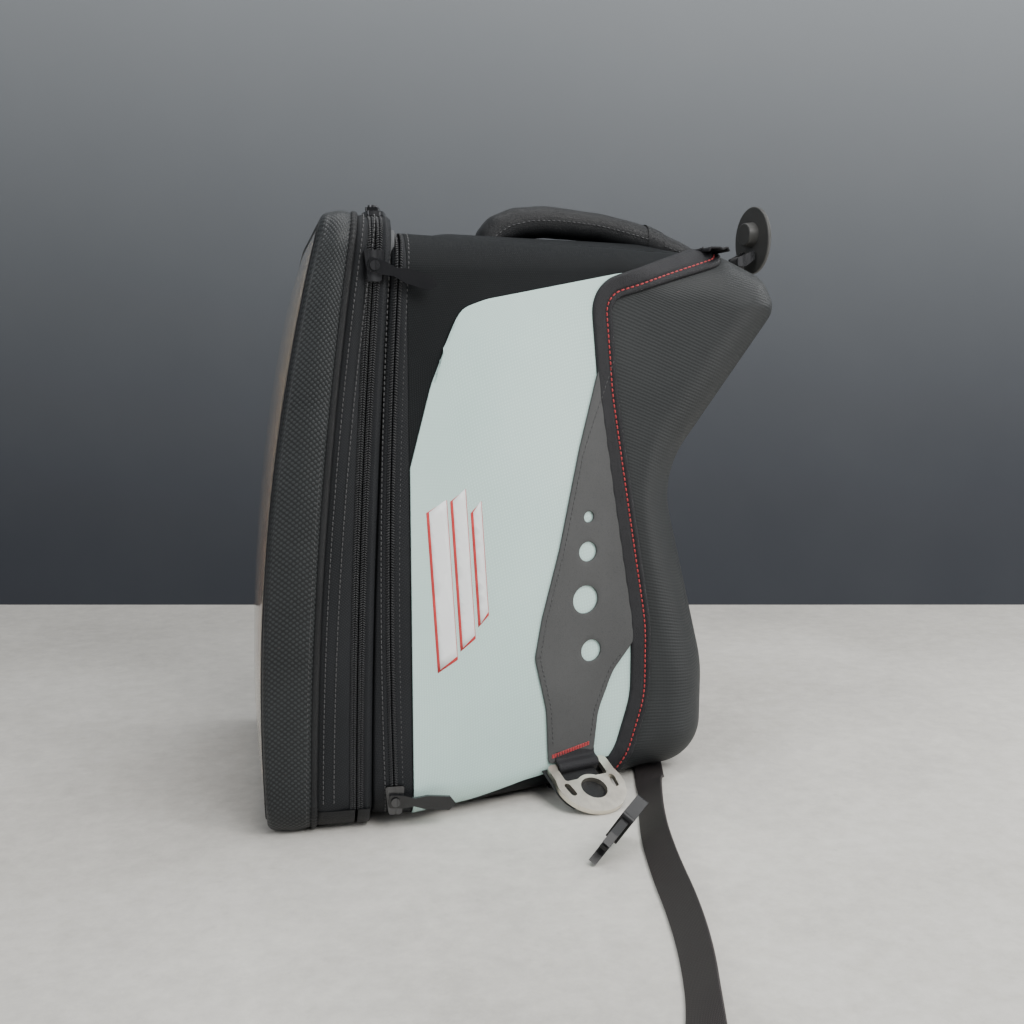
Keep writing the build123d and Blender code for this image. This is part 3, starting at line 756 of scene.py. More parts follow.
TAB_OUTLINE = [(47, 296), (30, 232), (16, 168), (3.5, 124), (-1.5, 98), (7, 62), (9, 24), (43, 29), (46, 56),
               (57, 82), (74, 104), (60, 215), (50, 270), (47, 296)]
TAB_RADII = [60, 60, 40, 14, 40, 3, 3, 40, 22, 20, 90, 30]
TAB_HOLES = [(37.5, 188, 3.7), (37.0, 165, 6.6), (35.5, 133, 9.4), (40.0, 98, 7.4)]


def polygon_fill(name, loops, lift, material, spacing=2.6 * MM):
    """A side-view region inside the first loop and outside the others, laid on the near skin."""
    work = bmesh.new()
    edges = []
    for loop in loops:
        ring = [work.verts.new((p[0], 0, p[1])) for p in loop]
        edges += [work.edges.new((a, b)) for a, b in zip(ring, ring[1:] + ring[:1])]
    bmesh.ops.triangle_fill(work, edges=edges, use_beauty=True, use_dissolve=False)
    for _ in range(7):
        long_edges = [e for e in work.edges if e.calc_length() > 2 * spacing]
        if not long_edges:
            break
        bmesh.ops.subdivide_edges(work, edges=long_edges, cuts=1)
        bmesh.ops.triangulate(work, faces=work.faces)
        bmesh.ops.beautify_fill(work, faces=work.faces, edges=[e for e in work.edges if not e.is_boundary])
    x = np.array([v.co.x for v in work.verts])
    z = np.array([v.co.z for v in work.verts])
    mesh = bpy.data.meshes.new(name)
    work.to_mesh(mesh)
    work.free()
    placed = on_skin(x, z, np.full(len(x), lift))
    for vertex, point in zip(mesh.vertices, placed):
        vertex.co = point + np.array([ORIGIN_SHIFT, 0, 0])
    layer = mesh.uv_layers.new(name="cloth")
    for loop in mesh.loops:
        layer.data[loop.index].uv = (x[loop.vertex_index], z[loop.vertex_index])
    mesh.materials.append(material)
    obj = bpy.data.objects.new(name, mesh)
    bpy.context.scene.collection.objects.link(obj)
    work = bmesh.new()
    work.from_mesh(mesh)
    bmesh.ops.recalc_face_normals(work, faces=work.faces)
    if sum(f.normal.y for f in work.faces) > 0:
        bmesh.ops.reverse_faces(work, faces=work.faces)
    work.to_mesh(mesh)
    work.free()
    return obj


def circle(x, z, radius, count=40):
    return [((x + radius * math.cos(2 * math.pi * i / count)) * MM,
             (z + radius * math.sin(2 * math.pi * i / count)) * MM) for i in range(count)]


tab_loop = rounded(TAB_OUTLINE, TAB_RADII)[:-1]
tab = polygon_fill("tab", [[tuple(p) for p in tab_loop]] + [circle(*hole) for hole in TAB_HOLES], 2.7 * MM,
                   TAB_LEATHER)
thicken(tab, 1.8 * MM, 0.45 * MM)
both_sides(tab, "tab", "bag", "tab_leather", "tab")


def side_stitches(name, line, lift, pitch, length, radius, material):
    """Stitches along a side-view line, on the near side of the bag."""
    line = spaced(np.array(line), 1 * MM)
    path = on_skin(line[:, 0], line[:, 1], np.full(len(line), lift))
    normals = skin_normal(line[:, 0], line[:, 1])
    return stitches(name, path, normals, pitch, length, radius, material)


tab_seam = [offset_line(rounded([(52, 291), (30, 232), (16, 168), (3.5, 124), (-1.5, 98), (7, 62), (9, 34)],
                                [60, 60, 40, 14, 40]), 3.2 * MM),
            offset_line(rounded([(43.5, 38), (46, 56), (57, 82), (66, 92)], [30, 22]), 3.2 * MM)]
for i, line in enumerate(tab_seam):
    row = side_stitches(f"tab_stitches_{i}", line, 2.7 * MM, 3.4 * MM, 2.3 * MM, 0.36 * MM, BLACK_THREAD)
    both_sides(row, f"tab_stitches_{i}", "bag", "tab_leather")
bar_tack = [straight((11, 29.5 + 0.9 * k), (41, 34.5 + 0.9 * k)) for k in (-1, 0, 1)]
rows = [side_stitches(f"tack_{i}", line, 2.7 * MM, 2.0 * MM, 1.9 * MM, 0.42 * MM, RED_THREAD)
        for i, line in enumerate(bar_tack)]
both_sides(joined("bar_tack", rows), "bar_tack", "bag", "tab_leather")


# ---------------------------------------------------------------- padded trim with its seams

def trim_section(count):
    """(distance across, lift) round the trim's upper face, with a groove along its red seam."""
    out = []
    for i in range(count):
        t = i / (count - 1)
        across = TRIM_OUT + (TRIM_IN - TRIM_OUT) * t
        edge = min(1.0, min(t, 1 - t) / 0.14)
        groove = math.exp(-((across + 0.2 * MM) / (1.1 * MM))**2)
        out.append((across, TRIM_RAISE * (math.sqrt(1 - (1 - edge)**2) - 0.42 * groove) + 0.1 * MM))
    return out


trim_line = spaced(SEAM_LINE[2:-1], 2.2 * MM)
trim_rows = []
for across, lift in trim_section(25):
    line = offset_line(trim_line, -across)
    ripple = 0.25 * MM * np.sin(np.arange(len(line)) * 0.9)
    trim_rows.append(on_skin(line[:, 0], line[:, 1], lift + np.maximum(ripple, 0) * (lift > 2 * MM)))
trim = cloth_grid("trim", np.array(trim_rows), TRIM_LEATHER)
thicken(trim, 1.2 * MM)
trims = [trim, mirrored(trim, "trim_far_skin")]
trim.name = "trim_near_skin"


def trim_across_top(x, z, half):
    """The trim's run across the top end, over the skin between its two sides."""
    rows = []
    for across, lift in trim_section(17):
        along = x + across - TRIM_OUT / 2 - TRIM_IN / 2
        rows.append([(along, y, z + lift) for y in np.linspace(-half, half, 40)])
    band = cloth_grid("trim_top", np.array(rows), TRIM_LEATHER)
    thicken(band, 1.0 * MM)
    return band


top_band = trim_across_top(131 * MM, 361.2 * MM, WAIST_HALF - WAIST_CORNER + 11 * MM)
place(joined("trim_skin", trims + [top_band]), "bag", "trim_leather", "base_trim")

red = side_stitches("red", spaced(trim_line, 1 * MM), TRIM_RAISE * 0.6 + 0.1 * MM, 3.5 * MM, 2.7 * MM,
                    0.55 * MM, RED_THREAD)
both_sides(red, "red_seam", "bag", "trim_leather")
for i, across in enumerate((TRIM_OUT + 1.9 * MM, TRIM_IN - 1.4 * MM)):
    line = offset_line(trim_line, -across)
    row = side_stitches(f"edge_{i}", line, TRIM_RAISE * 0.82, 3.4 * MM, 2.3 * MM, 0.34 * MM, BLACK_THREAD)
    both_sides(row, f"trim_edge_{i}", "bag", "trim_leather")


# ---------------------------------------------------------------- hoops of the lid, collar and mouth

HOOP_STEP = 3 * MM
HOOP_COUNT = 420


def hoop(half, low, high, corner, inset):
    """(y, z) points and outward normals round a rounded rectangle, from the middle of its foot."""
    half, low, high = half - inset, low + inset, high - inset
    radius = max(corner - inset, 3 * MM)
    corners = [(half - radius, low + radius, -90), (half - radius, high - radius, 0),
               (-half + radius, high - radius, 90), (-half + radius, low + radius, 180)]
    points, normals = [(0.0, low)], [(0.0, -1.0)]
    for y, z, start in corners:
        for i in range(11):
            angle = math.radians(start + 9 * i)
            points.append((y + radius * math.cos(angle), z + radius * math.sin(angle)))
            normals.append((math.cos(angle), math.sin(angle)))
    points.append((0.0, low))
    normals.append((0.0, -1.0))
    line = np.hstack([np.array(points), np.array(normals)])
    along = distance_along(line[:, :2])
    at = np.linspace(0, along[-1], round(along[-1] / HOOP_STEP) + 1)
    line = np.stack([np.interp(at, along, line[:, k]) for k in range(4)], axis=1)
    return line[:, :2], line[:, 2:]


def lid_hoop(inset):
    return hoop(LID_HALF, 0, LID_TOP, LID_CORNER, inset)


def mouth_hoop(inset):
    return hoop(MOUTH_HALF, FOOT_Z, MOUTH_TOP, MOUTH_CORNER, inset)


def hoop_row(form, line, dx, inset):
    """One ring of points: a hoop at an inset, on a side-view line moved by dx."""
    points, _ = form(inset)
    points = resampled(points, HOOP_COUNT)
    return np.stack([line_x(line, points[:, 1]) + dx, points[:, 0], points[:, 1]], axis=1)


def hoop_strip(name, form, stations, material):
    """A surface through rings; a station is (line, dx, inset)."""
    return cloth_grid(name, np.array([hoop_row(form, *station) for station in stations]), material)


def between_stations(a, b, count, swell=0.0):
    """Stations from one to the other, bowed outwards between them."""
    out = []
    for i in range(count):
        t = i / (count - 1)
        line = [((1 - t) * p[0] + t * q[0], p[1]) for p, q in zip(a[0], b[0])]
        dx = (1 - t) * a[1] + t * b[1]
        inset = (1 - t) * a[2] + t * b[2] - swell * math.sin(math.pi * t)
        out.append((line, dx, inset))
    return out


def above(obj, height, keep_above=True):
    """Cuts away what lies under, or over, a height."""
    work = bmesh.new()
    work.from_mesh(obj.data)
    geometry = work.verts[:] + work.edges[:] + work.faces[:]
    bmesh.ops.bisect_plane(work, geom=geometry, plane_co=(0, 0, height), plane_no=(0, 0, 1),
                           clear_inner=keep_above, clear_outer=not keep_above)
    work.to_mesh(obj.data)
    work.free()
    return obj


ZIP_FOOT = 14 * MM

# the lid's padded wall, its rounded outer edge and the welted border round its window
edge_turn = [(OUTER_LINE, 4.5 * MM * (1 - math.sin(a)) - LID_OUT, 4.5 * MM * (1 - math.cos(a)))
             for a in np.radians(np.linspace(90, 0, 8))]
wall_stations = [(OUTER_LINE, 0.6 * MM - LID_OUT, 16 * MM), (OUTER_LINE, 0.1 * MM - LID_OUT, 9 * MM)]
wall_stations += edge_turn
wall_stations += between_stations((OUTER_LINE, 5 * MM - LID_OUT, 0), (PIPING_LINE, -1.6 * MM, 0.2 * MM), 14,
                                  1.3 * MM)
wall_stations += [(PIPING_LINE, -1.2 * MM, 1.6 * MM), (PIPING_LINE, -1.2 * MM, 6 * MM)]
lid_wall = hoop_strip("lid_wall_skin", lid_hoop, wall_stations, DOTTED)
thicken(lid_wall, 2.0 * MM)
place(lid_wall, "lid", "dotted_textile", "lid_wall")


def tube_round(name, form, line, dx, inset, radius, material):
    """Piping: a cord in vinyl round a hoop, a little uneven as sewn piping is."""
    points, normals = form(inset)
    both = np.hstack([points, normals])
    both = resampled(both, HOOP_COUNT)
    centre = np.stack([line_x(line, both[:, 1]) + dx, both[:, 0], both[:, 1]], axis=1)
    outward = np.stack([0 * both[:, 2], both[:, 2], both[:, 3]], axis=1)
    sideways = np.array([1.0, 0, 0])
    rings = []
    for i in range(len(centre)):
        r = radius * (1 + 0.04 * math.sin(i * 0.83))
        ring = [centre[i] + outward[i] * r * math.sin(a) + sideways * r * math.cos(a)
                for a in np.linspace(0, 2 * math.pi, 13)[:-1]]
        rings.append(ring)
    points = np.array(rings)
    points[..., 2] = np.maximum(points[..., 2], 0.2 * MM)
    return cloth_grid(name, points, material, close_columns=True)


piping = tube_round("piping", lid_hoop, PIPING_LINE, 0, 1.2 * MM, 2.2 * MM, PIPING_SKIN)
place(piping, "lid", "black_vinyl", "lid_piping")
frame_piping = tube_round("frame_piping", lid_hoop, OUTER_LINE, 0.6 * MM - LID_OUT, 8.0 * MM, 1.5 * MM,
                          PIPING_SKIN)
place(frame_piping, "lid", "black_vinyl")

# the printed card, its vinyl frame and the crowned clear sheet over it
CROWN = 4.5 * MM


def crowned_sheet(name, inset, lift, crown, material, count=44):
    """A sheet across the lid's face, bowed outwards."""
    half, high = LID_HALF - inset, LID_TOP - inset
    rows = []
    for v in np.linspace(-1, 1, count + 16):
        row = []
        for u in np.linspace(-1, 1, count):
            z = LID_TOP / 2 + v * (LID_TOP / 2 - inset)
            corner = max(LID_CORNER - inset, 6 * MM)
            over = max(0.0, abs(v) * (LID_TOP / 2 - inset) - (LID_TOP / 2 - inset - corner))
            reach = half - corner + math.sqrt(max(corner**2 - over**2, 0))
            y = u * reach
            rise = crown * (1 - u**4) * (1 - v**6)
            row.append((float(line_x(OUTER_LINE, z)) - lift - rise, y, z))
        rows.append(row)
    return cloth_grid(name, np.array(rows), material)


card = crowned_sheet("lid_card", 7.6 * MM, -1.2 * MM + LID_OUT, CROWN - 0.4 * MM, CARD)
thicken(card, 1.4 * MM)
place(card, "lid", "lining")
window = crowned_sheet("lid_window_sheet", 9 * MM, 0.2 * MM + LID_OUT, CROWN, CLEAR)
modifier(window, "SOLIDIFY", thickness=0.5 * MM, offset=0.0)
apply_all(window)
place(window, "lid", "clear_window", "lid_window", "lid_window_frame")
inner_board = crowned_sheet("lid_inner_board", 8 * MM, -6.5 * MM, 0.0, LINING_CLOTH)
modifier(inner_board, "SOLIDIFY", thickness=2 * MM, offset=0.0)
apply_all(inner_board)
place(inner_board, "lid", "lining", "lid_board")


def hoop_stitches(name, form, line, dx, inset, lift, pitch, length, radius, material, foot, turn=0.0):
    """Stitches round a hoop, above a foot height."""
    points, normals = form(inset)
    both = resampled(np.hstack([points, normals]), 900)
    x = line_x(line, both[:, 1]) + dx
    path = np.stack([x, both[:, 0], both[:, 1]], axis=1)
    outward = np.stack([0 * both[:, 2], both[:, 2], both[:, 3]], axis=1)
    outward /= np.linalg.norm(outward, axis=1, keepdims=True)
    keep = path[:, 2] > foot
    raised = path[keep] + outward[keep] * lift
    return stitches(name, raised, outward[keep], pitch, length, radius, material, turn)


def hoop_coil(name, form, line, dx, inset, lift, width, foot):
    """Both slants of a coil's turns, which make its herringbone."""
    rows = []
    for side, turn in ((-1, 58), (1, -58)):
        row_x = dx + side * width * 0.27
        rows.append(hoop_stitches(f"{name}_{side}", form, line, row_x, inset, lift, 1.45 * MM, width * 0.66,
                                  0.46 * MM, COIL, foot, math.radians(turn)))
    return joined(name, rows)


# the textile band between the piping and the lid's zip, with its two rows of stitches
band_stations = [(PIPING_LINE, 1.0 * MM, 5 * MM), (PIPING_LINE, 1.4 * MM, 2.2 * MM)]
band_stations += between_stations((PIPING_LINE, 2.6 * MM, 1.7 * MM), (COIL_LINE, -5 * MM, 2.4 * MM), 12,
                                  0.9 * MM)
band_stations += [(COIL_LINE, -3.2 * MM, 2.9 * MM), (COIL_LINE, -0.25 * MM, 3.1 * MM),
                  (COIL_LINE, -0.25 * MM, 5 * MM)]
lid_band = hoop_strip("lid_zip_band", lid_hoop, band_stations, TAPE_CLOTH)
thicken(lid_band, 1.2 * MM)
place(above(lid_band, ZIP_FOOT), "lid", "zip_tape", "lid_zip_tape")
lid_coil = hoop_coil("lid_coil", lid_hoop, COIL_LINE, -2.3 * MM, 2.7 * MM, 0.3 * MM, 3.8 * MM, ZIP_FOOT)
place(lid_coil, "lid", "zip_coil", "lid_zip_coil")
for i, dx in enumerate((5.5 * MM, 12.0 * MM)):
    row = hoop_stitches(f"lid_band_stitches_{i}", lid_hoop, PIPING_LINE, dx, 1.1 * MM, 0.2 * MM, 3.2 * MM,
                        2.3 * MM, 0.36 * MM, BLACK_THREAD, ZIP_FOOT + 4 * MM)
    place(row, "lid", "zip_tape")
row = hoop_stitches("lid_wall_stitches", lid_hoop, PIPING_LINE, -4.6 * MM, 0.1 * MM, 0.1 * MM, 3.4 * MM,
                    2.4 * MM, 0.36 * MM, BLACK_THREAD, 4 * MM)
place(row, "lid", "dotted_textile")


def hinge_patch(name, first, low, high, count, swell, last, body, node):
    """The vinyl at the foot, where the zip ends and the lid hinges."""
    stations = [first] + between_stations(low, high, count, swell) + [last]
    vinyl = hoop_strip(name, lid_hoop, stations, PIPING_SKIN)
    thicken(vinyl, 1.2 * MM)
    place(above(vinyl, ZIP_FOOT + 1.5 * MM, False), body, "black_vinyl", node)


hinge_patch("lid_hinge_vinyl", (PIPING_LINE, 1.2 * MM, 4 * MM), (PIPING_LINE, 1.8 * MM, 1.0 * MM),
            (COIL_LINE, -0.9 * MM, 0.8 * MM), 8, 0.4 * MM, (COIL_LINE, -0.5 * MM, 4.6 * MM), "lid",
            "lid_hinge_patch")


# ---------------------------------------------------------------- expansion collar

collar_stations = [(COIL_LINE, 0.3 * MM, 8 * MM), (COIL_LINE, 0.3 * MM, 3.1 * MM),
                   (COIL_LINE, 3.2 * MM, 2.9 * MM)]
collar_stations += between_stations((COIL_LINE, 5 * MM, 1.9 * MM), (BAND_LINE, -1.2 * MM, 2.4 * MM), 6,
                                    0.7 * MM)
collar_stations += [(BAND_LINE, 0, 3.4 * MM), (BAND_LINE, 0.6 * MM, 6.0 * MM)]
collar_band = hoop_strip("collar_band", lid_hoop, collar_stations, TAPE_CLOTH)
thicken(collar_band, 1.2 * MM)
place(above(collar_band, ZIP_FOOT), "collar", "zip_tape", "collar_zip_tape", "collar_rim")
collar_coil = hoop_coil("collar_coil", lid_hoop, COIL_LINE, 2.3 * MM, 2.7 * MM, 0.3 * MM, 3.8 * MM, ZIP_FOOT)
place(collar_coil, "collar", "zip_coil", "collar_zip_coil")
hinge_patch("collar_hinge_vinyl", (COIL_LINE, 0.5 * MM, 4.6 * MM), (COIL_LINE, 0.9 * MM, 0.8 * MM),
            (BAND_LINE, -0.6 * MM, 1.0 * MM), 6, 0.3 * MM, (BAND_LINE, 0, 5 * MM), "collar",
            "collar_hinge_patch")


def hinge_strip():
    """The vinyl between collar and lid under the foot, as a flat strip."""
    rows = [[(-119.5 * MM + dx, y, 1.3 * MM) for dx in np.linspace(-6, 6, 25) * MM]
            for y in np.linspace(-100, 100, 30) * MM]
    strip = cloth_grid("hinge_strip", np.array(rows), PIPING_SKIN)
    modifier(strip, "SOLIDIFY", thickness=0.9 * MM, offset=0.0)
    apply_all(strip)
    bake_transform(strip)


hinge_strip()

# the expansion zip: a tape on the collar, a tape on the body, and the closed coil between them
for name, body, start, end, node in (
        ("expansion_tape_collar_skin", "collar", (BAND_LINE, 1.4 * MM, 2.4 * MM),
         (SLIT_LINE, -0.2 * MM, 1.0 * MM), "expansion_tape_collar"),
        ("expansion_tape_body_skin", "bag", (SLIT_LINE, 0.2 * MM, 1.0 * MM),
         ([(-84, -2), (-84, 180), (-84, 380)], 0.6 * MM, 0.4 * MM), "expansion_tape_body")):
    stations = between_stations(start, end, 8, 0.7 * MM)
    inner = (start[0], start[1], 7 * MM) if body == "collar" else (end[0], 0.8 * MM, 3 * MM)
    stations = [inner] + stations if body == "collar" else stations + [inner]
    tape = hoop_strip(name, mouth_hoop, stations, TAPE_CLOTH)
    thicken(tape, 1.2 * MM)
    place(tape, body, "zip_tape", node)
for name, body, side in (("expansion_coil_collar", "collar", -1), ("expansion_coil_body", "bag", 1)):
    coil = hoop_stitches(name, mouth_hoop, SLIT_LINE, side * 1.5 * MM, 0.8 * MM, 0.3 * MM, 1.6 * MM,
                         2.6 * MM, 0.5 * MM, COIL, 12 * MM, math.radians(-side * 62))
    place(coil, body, "zip_coil")
    row = hoop_stitches(name + "_stitches", mouth_hoop, SLIT_LINE, side * 5.6 * MM, 0.7 * MM, 0.3 * MM,
                        3.2 * MM, 2.3 * MM, 0.36 * MM, BLACK_THREAD, 6 * MM)
    place(row, body, "zip_tape")

FLAT = [(0, -2), (0, 180), (0, 380)]
gusset_stations = [(BAND_LINE, 0.5 * MM, 3.4 * MM), (FLAT, -99 * MM, 4.4 * MM), (FLAT, -98.4 * MM, 12 * MM)]
gusset_stations += [(FLAT, x * MM, (19.2 + 0.5 * math.sin(x * 0.5)) * MM) for x in range(-98, -48, 3)]
gusset = hoop_strip("gusset_sleeve", mouth_hoop, gusset_stations, BLACK_CLOTH)
thicken(gusset, 0.8 * MM)
place(gusset, "collar", "black_textile", "expansion_gusset")
lining_stations = [(COIL_LINE, 1.2 * MM, 3.6 * MM), (COIL_LINE, 1.6 * MM, 8.4 * MM), (BAND_LINE, 0, 9.2 * MM),
                   (BAND_LINE, 3 * MM, 9.6 * MM)]
collar_lining = hoop_strip("collar_lining", lid_hoop, lining_stations, LINING_CLOTH)
place(collar_lining, "collar", "lining")
lining_stations = between_stations((COIL_LINE, -1.2 * MM, 4.4 * MM), (OUTER_LINE, 5 * MM, 8.4 * MM), 14)
lid_lining = hoop_strip("lid_lining", lid_hoop, lining_stations, LINING_CLOTH)
place(lid_lining, "lid", "lining")

# the floor of the compartment, which is the board behind the base
rows = []
for z in np.linspace(6, 357, 90) * MM:
    row = []
    for y in np.linspace(-74, 74, 44) * MM:
        rise = abs(math.sin(z / (46 * MM) * math.pi)) ** 0.5
        quilt = 1.2 * MM * rise * abs(math.cos(y / (74 * MM) * math.pi)) ** 0.5
        row.append((48.5 * MM - quilt, y, z))
    rows.append(row)
board = cloth_grid("base_board_pad", np.array(rows), LINING_CLOTH)
thicken(board, 2 * MM)
place(board, "bag", "lining", "base_board")


# ---------------------------------------------------------------- grab handle

HANDLE_OUTER = [(-24, 362), (-20, 377), (-12, 387), (4, 393.5), (28, 395.4), (70, 390.5), (100, 383.5),
                (128, 371), (144, 361.5)]
HANDLE_INNER = [(-8, 362), (-6, 367), (2, 370), (14, 372.5), (28, 373.5), (64, 371.5), (91, 364), (112, 357),
                (136, 352)]


def handle_half(t):
    """Half the handle's width at a share of its length: broad at its sewn ends."""
    return (15 + 3 * abs(2 * t - 1)**1.5 + 4 * max(0, t - 0.6)) * MM


outer_line = resampled(rounded(HANDLE_OUTER, [10, 10, 20, 60, 80, 80, 60]), 90)
inner_line = resampled(rounded(HANDLE_INNER, [8, 8, 12, 30, 60, 60, 40]), 90)
middle = (outer_line + inner_line) / 2
rows = []
for i in range(90):
    t = i / 89
    across = outer_line[i] - inner_line[i]
    tall = np.linalg.norm(across) / 2
    up = across / (2 * tall)
    wide = handle_half(t)
    tall *= 1 - 0.12 * abs(math.sin(math.pi * t * 9)) * 0.12
    ring = []
    for k in range(32):
        a = 2 * math.pi * k / 32
        c, s = math.cos(a), math.sin(a)
        y = wide * math.copysign(abs(c)**0.75, c)
        lift = tall * math.copysign(abs(s)**0.85, s)
        ring.append((middle[i][0] + up[0] * lift, y, middle[i][1] + up[1] * lift))
    rows.append(ring)
handle = cloth_grid("handle_pad", np.array(rows), PIPING_SKIN, close_columns=True)
work = bmesh.new()
work.from_mesh(handle.data)
bmesh.ops.holes_fill(work, edges=[e for e in work.edges if e.is_boundary])
work.to_mesh(handle.data)
work.free()
place(handle, "bag", "black_vinyl", "handle")
seam_rows = []
for side in (-1, 1):
    path = np.array([(middle[i][0], side * (handle_half(i / 89) + 0.1 * MM), middle[i][1])
                     for i in range(2, 84)])
    normals = np.tile(np.array([0.0, side, 0.0]), (len(path), 1))
    seam_rows.append(stitches(f"handle_seam_{side}", path, normals, 3.6 * MM, 2.4 * MM, 0.36 * MM,
                              BLACK_THREAD))
place(joined("handle_stitches", seam_rows), "bag", "black_vinyl")
cuff_rows = []
for i in np.linspace(66, 72, 7).astype(int):
    up = outer_line[i] - middle[i]
    cuff_rows.append([(middle[i][0] + up[0] * 1.06 * math.copysign(abs(math.sin(a))**0.85, math.sin(a)),
                       (handle_half(i / 89) + 0.6 * MM) * math.copysign(abs(math.cos(a))**0.75, math.cos(a)),
                       middle[i][1] + up[1] * 1.06 * math.copysign(abs(math.sin(a))**0.85, math.sin(a)))
                      for a in np.linspace(0, 2 * math.pi, 33)[:-1]])
cuff = cloth_grid("handle_cuff", np.array(cuff_rows), PIPING_SKIN, close_columns=True)
place(cuff, "bag", "black_vinyl")


# ---------------------------------------------------------------- webbing of the rings and the cross strap

def band_along(name, path, width_axis, width, thickness, material):
    """A flat strap whose middle follows a path of points."""
    path = np.array(path)
    half = np.array(width_axis) * width / 2
    rows = [[p + half * s for s in np.linspace(-1, 1, 13)] for p in path]
    band = cloth_grid(name, np.array(rows), material)
    modifier(band, "SOLIDIFY", thickness=thickness, offset=0.0)
    modifier(band, "BEVEL", width=thickness * 0.3, segments=2, limit_method="ANGLE",
             angle_limit=math.radians(50))
    apply_all(band)
    return band


side_angle = math.atan2(MOUTH_HALF - WAIST_HALF, WAIST_X - MOUTH_X)
ALONG = np.array([math.cos(side_angle), math.sin(side_angle), 0])
OUT = np.array([math.sin(side_angle), -math.cos(side_angle), 0])
UP = np.array([0, 0, 1.0])
ring_base = np.array([28 * MM, -MOUTH_HALF + 112 * MM * math.tan(side_angle), 20 * MM]) + OUT * 8.4 * MM
loop_route = rounded([(-5.6, 13), (-4.6, 6), (2.8, 3.4), (-3.6, -5)], [3, 3], 0.6 * MM)
loop_points = [ring_base + OUT * p[0] + UP * p[1] for p in loop_route]
loop = band_along("ring_webbing", loop_points, ALONG, 31 * MM, 1.6 * MM, TRIM_LEATHER)
both_sides(loop, "ring_webbing", "bag", "webbing", "tab_webbing")
tilt = math.radians(27)
ring_up = OUT * -math.cos(tilt) + UP * math.sin(tilt)
behind = -OUT * math.sin(tilt) - UP * math.cos(tilt)
rows = []
for b in np.linspace(6, -30, 24) * MM:
    half = 19 * MM * (1 - max(0.0, (-b / MM - 14) / 22)**2.4 * 0.55)
    rows.append([ring_base + ring_up * b + ALONG * (a * half - 6 * MM) + behind * (2.6 + 0.4 * a * a) * MM
                 for a in np.linspace(-1, 1, 21)])
backing = cloth_grid("ring_backing", np.array(rows), PIPING_SKIN)
thicken(backing, 0.8 * MM, 0.3 * MM)
both_sides(backing, "ring_backing", "bag", "black_vinyl")
under = [(y, 1.3) for y in np.linspace(-66, 66, 60)]
side_up = rounded([(-66, 1.2), (-80, 1.2), (-86.5, 14)], [12], 1 * MM)
route = [(28 * MM, p[0], p[1]) for p in side_up[::-1]] + [(28 * MM, y * MM, z * MM) for y, z in under[1:-1]]
route += [(28 * MM, -p[0], p[1]) for p in side_up]
cross = band_along("cross_strap_skin", route, (1, 0, 0), 27 * MM, 1.6 * MM, WEBBING_CLOTH)
place(cross, "bag", "webbing", "cross_strap")


# ---------------------------------------------------------------- hardware that keeps its CAD shape

def finish_nodes(material, width, *names):
    """A better material and softened edges on CAD nodes."""
    for name in names:
        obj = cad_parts[name]
        obj.data.materials.clear()
        obj.data.materials.append(material)
        modifier(obj, "BEVEL", width=width, segments=2, limit_method="ANGLE", angle_limit=math.radians(40))


finish_nodes(SATIN, 0.5 * MM, "ring_near", "ring_far")
finish_nodes(DARK_METAL, 0.3 * MM, "lid_zip_near_slider", "lid_zip_far_slider", "expansion_zip_slider",
             "fastener_link")
finish_nodes(GLOSS_PLASTIC, 0.4 * MM, "lid_zip_near_puller", "lid_zip_far_puller", "expansion_zip_puller")
finish_nodes(BUCKLE_PLASTIC, 0.8 * MM, "buckle")
finish_nodes(BLACK_PLASTIC, 0.4 * MM, "fastener_disc", "fastener_boss")
finish_nodes(WEBBING_CLOTH, 0.4 * MM, "fastener_loop")


# ---------------------------------------------------------------- marking: plain slanted bars

def marking_bar(low_x, high_x, low_z, high_z, slant, cut):
    """A slanted bar with one clipped corner, as a loop of side-view points."""
    lean = (high_z - low_z) * slant
    return [(low_x, low_z), (high_x, low_z + cut), (high_x - lean, high_z), (low_x - lean, high_z - cut)]


def side_marks(name, loops, lift, material):
    plates = []
    for i, loop in enumerate(loops):
        plate = polygon_fill(f"{name}_{i}", [[(x * MM, z * MM) for x, z in loop]], lift, material, 4 * MM)
        thicken(plate, 0.25 * MM)
        plates.append(plate)
    both_sides(joined(name, plates), name, "bag", "pale_tarpaulin")


BARS = [(-66, -55, 100, 206), (-51, -43, 112, 212), (-39, -34, 126, 204)]
white_bars = [marking_bar(a, b, low, high, 0.06, 7) for a, b, low, high in BARS]
red_bars = [marking_bar(a - 1.6, b + 0.6, low - 2.2, high - 0.4, 0.06, 7) for a, b, low, high in BARS]
side_marks("mark_red", red_bars, 1.05 * MM, MARK_RED)
side_marks("mark_white", white_bars, 1.2 * MM, MARK_WHITE)


# ---------------------------------------------------------------- strap on the floor

def nurbs(name, points):
    curve = bpy.data.curves.new(name, "CURVE")
    curve.dimensions = "3D"
    spline = curve.splines.new("NURBS")
    spline.points.add(len(points) - 1)
    for control, point in zip(spline.points, points):
        control.co = (*point, 1)
    spline.order_u = 3
    spline.use_endpoint_u = True
    spline.resolution_u = 24
    obj = bpy.data.objects.new(name, curve)
    bpy.context.scene.collection.objects.link(obj)
    return obj


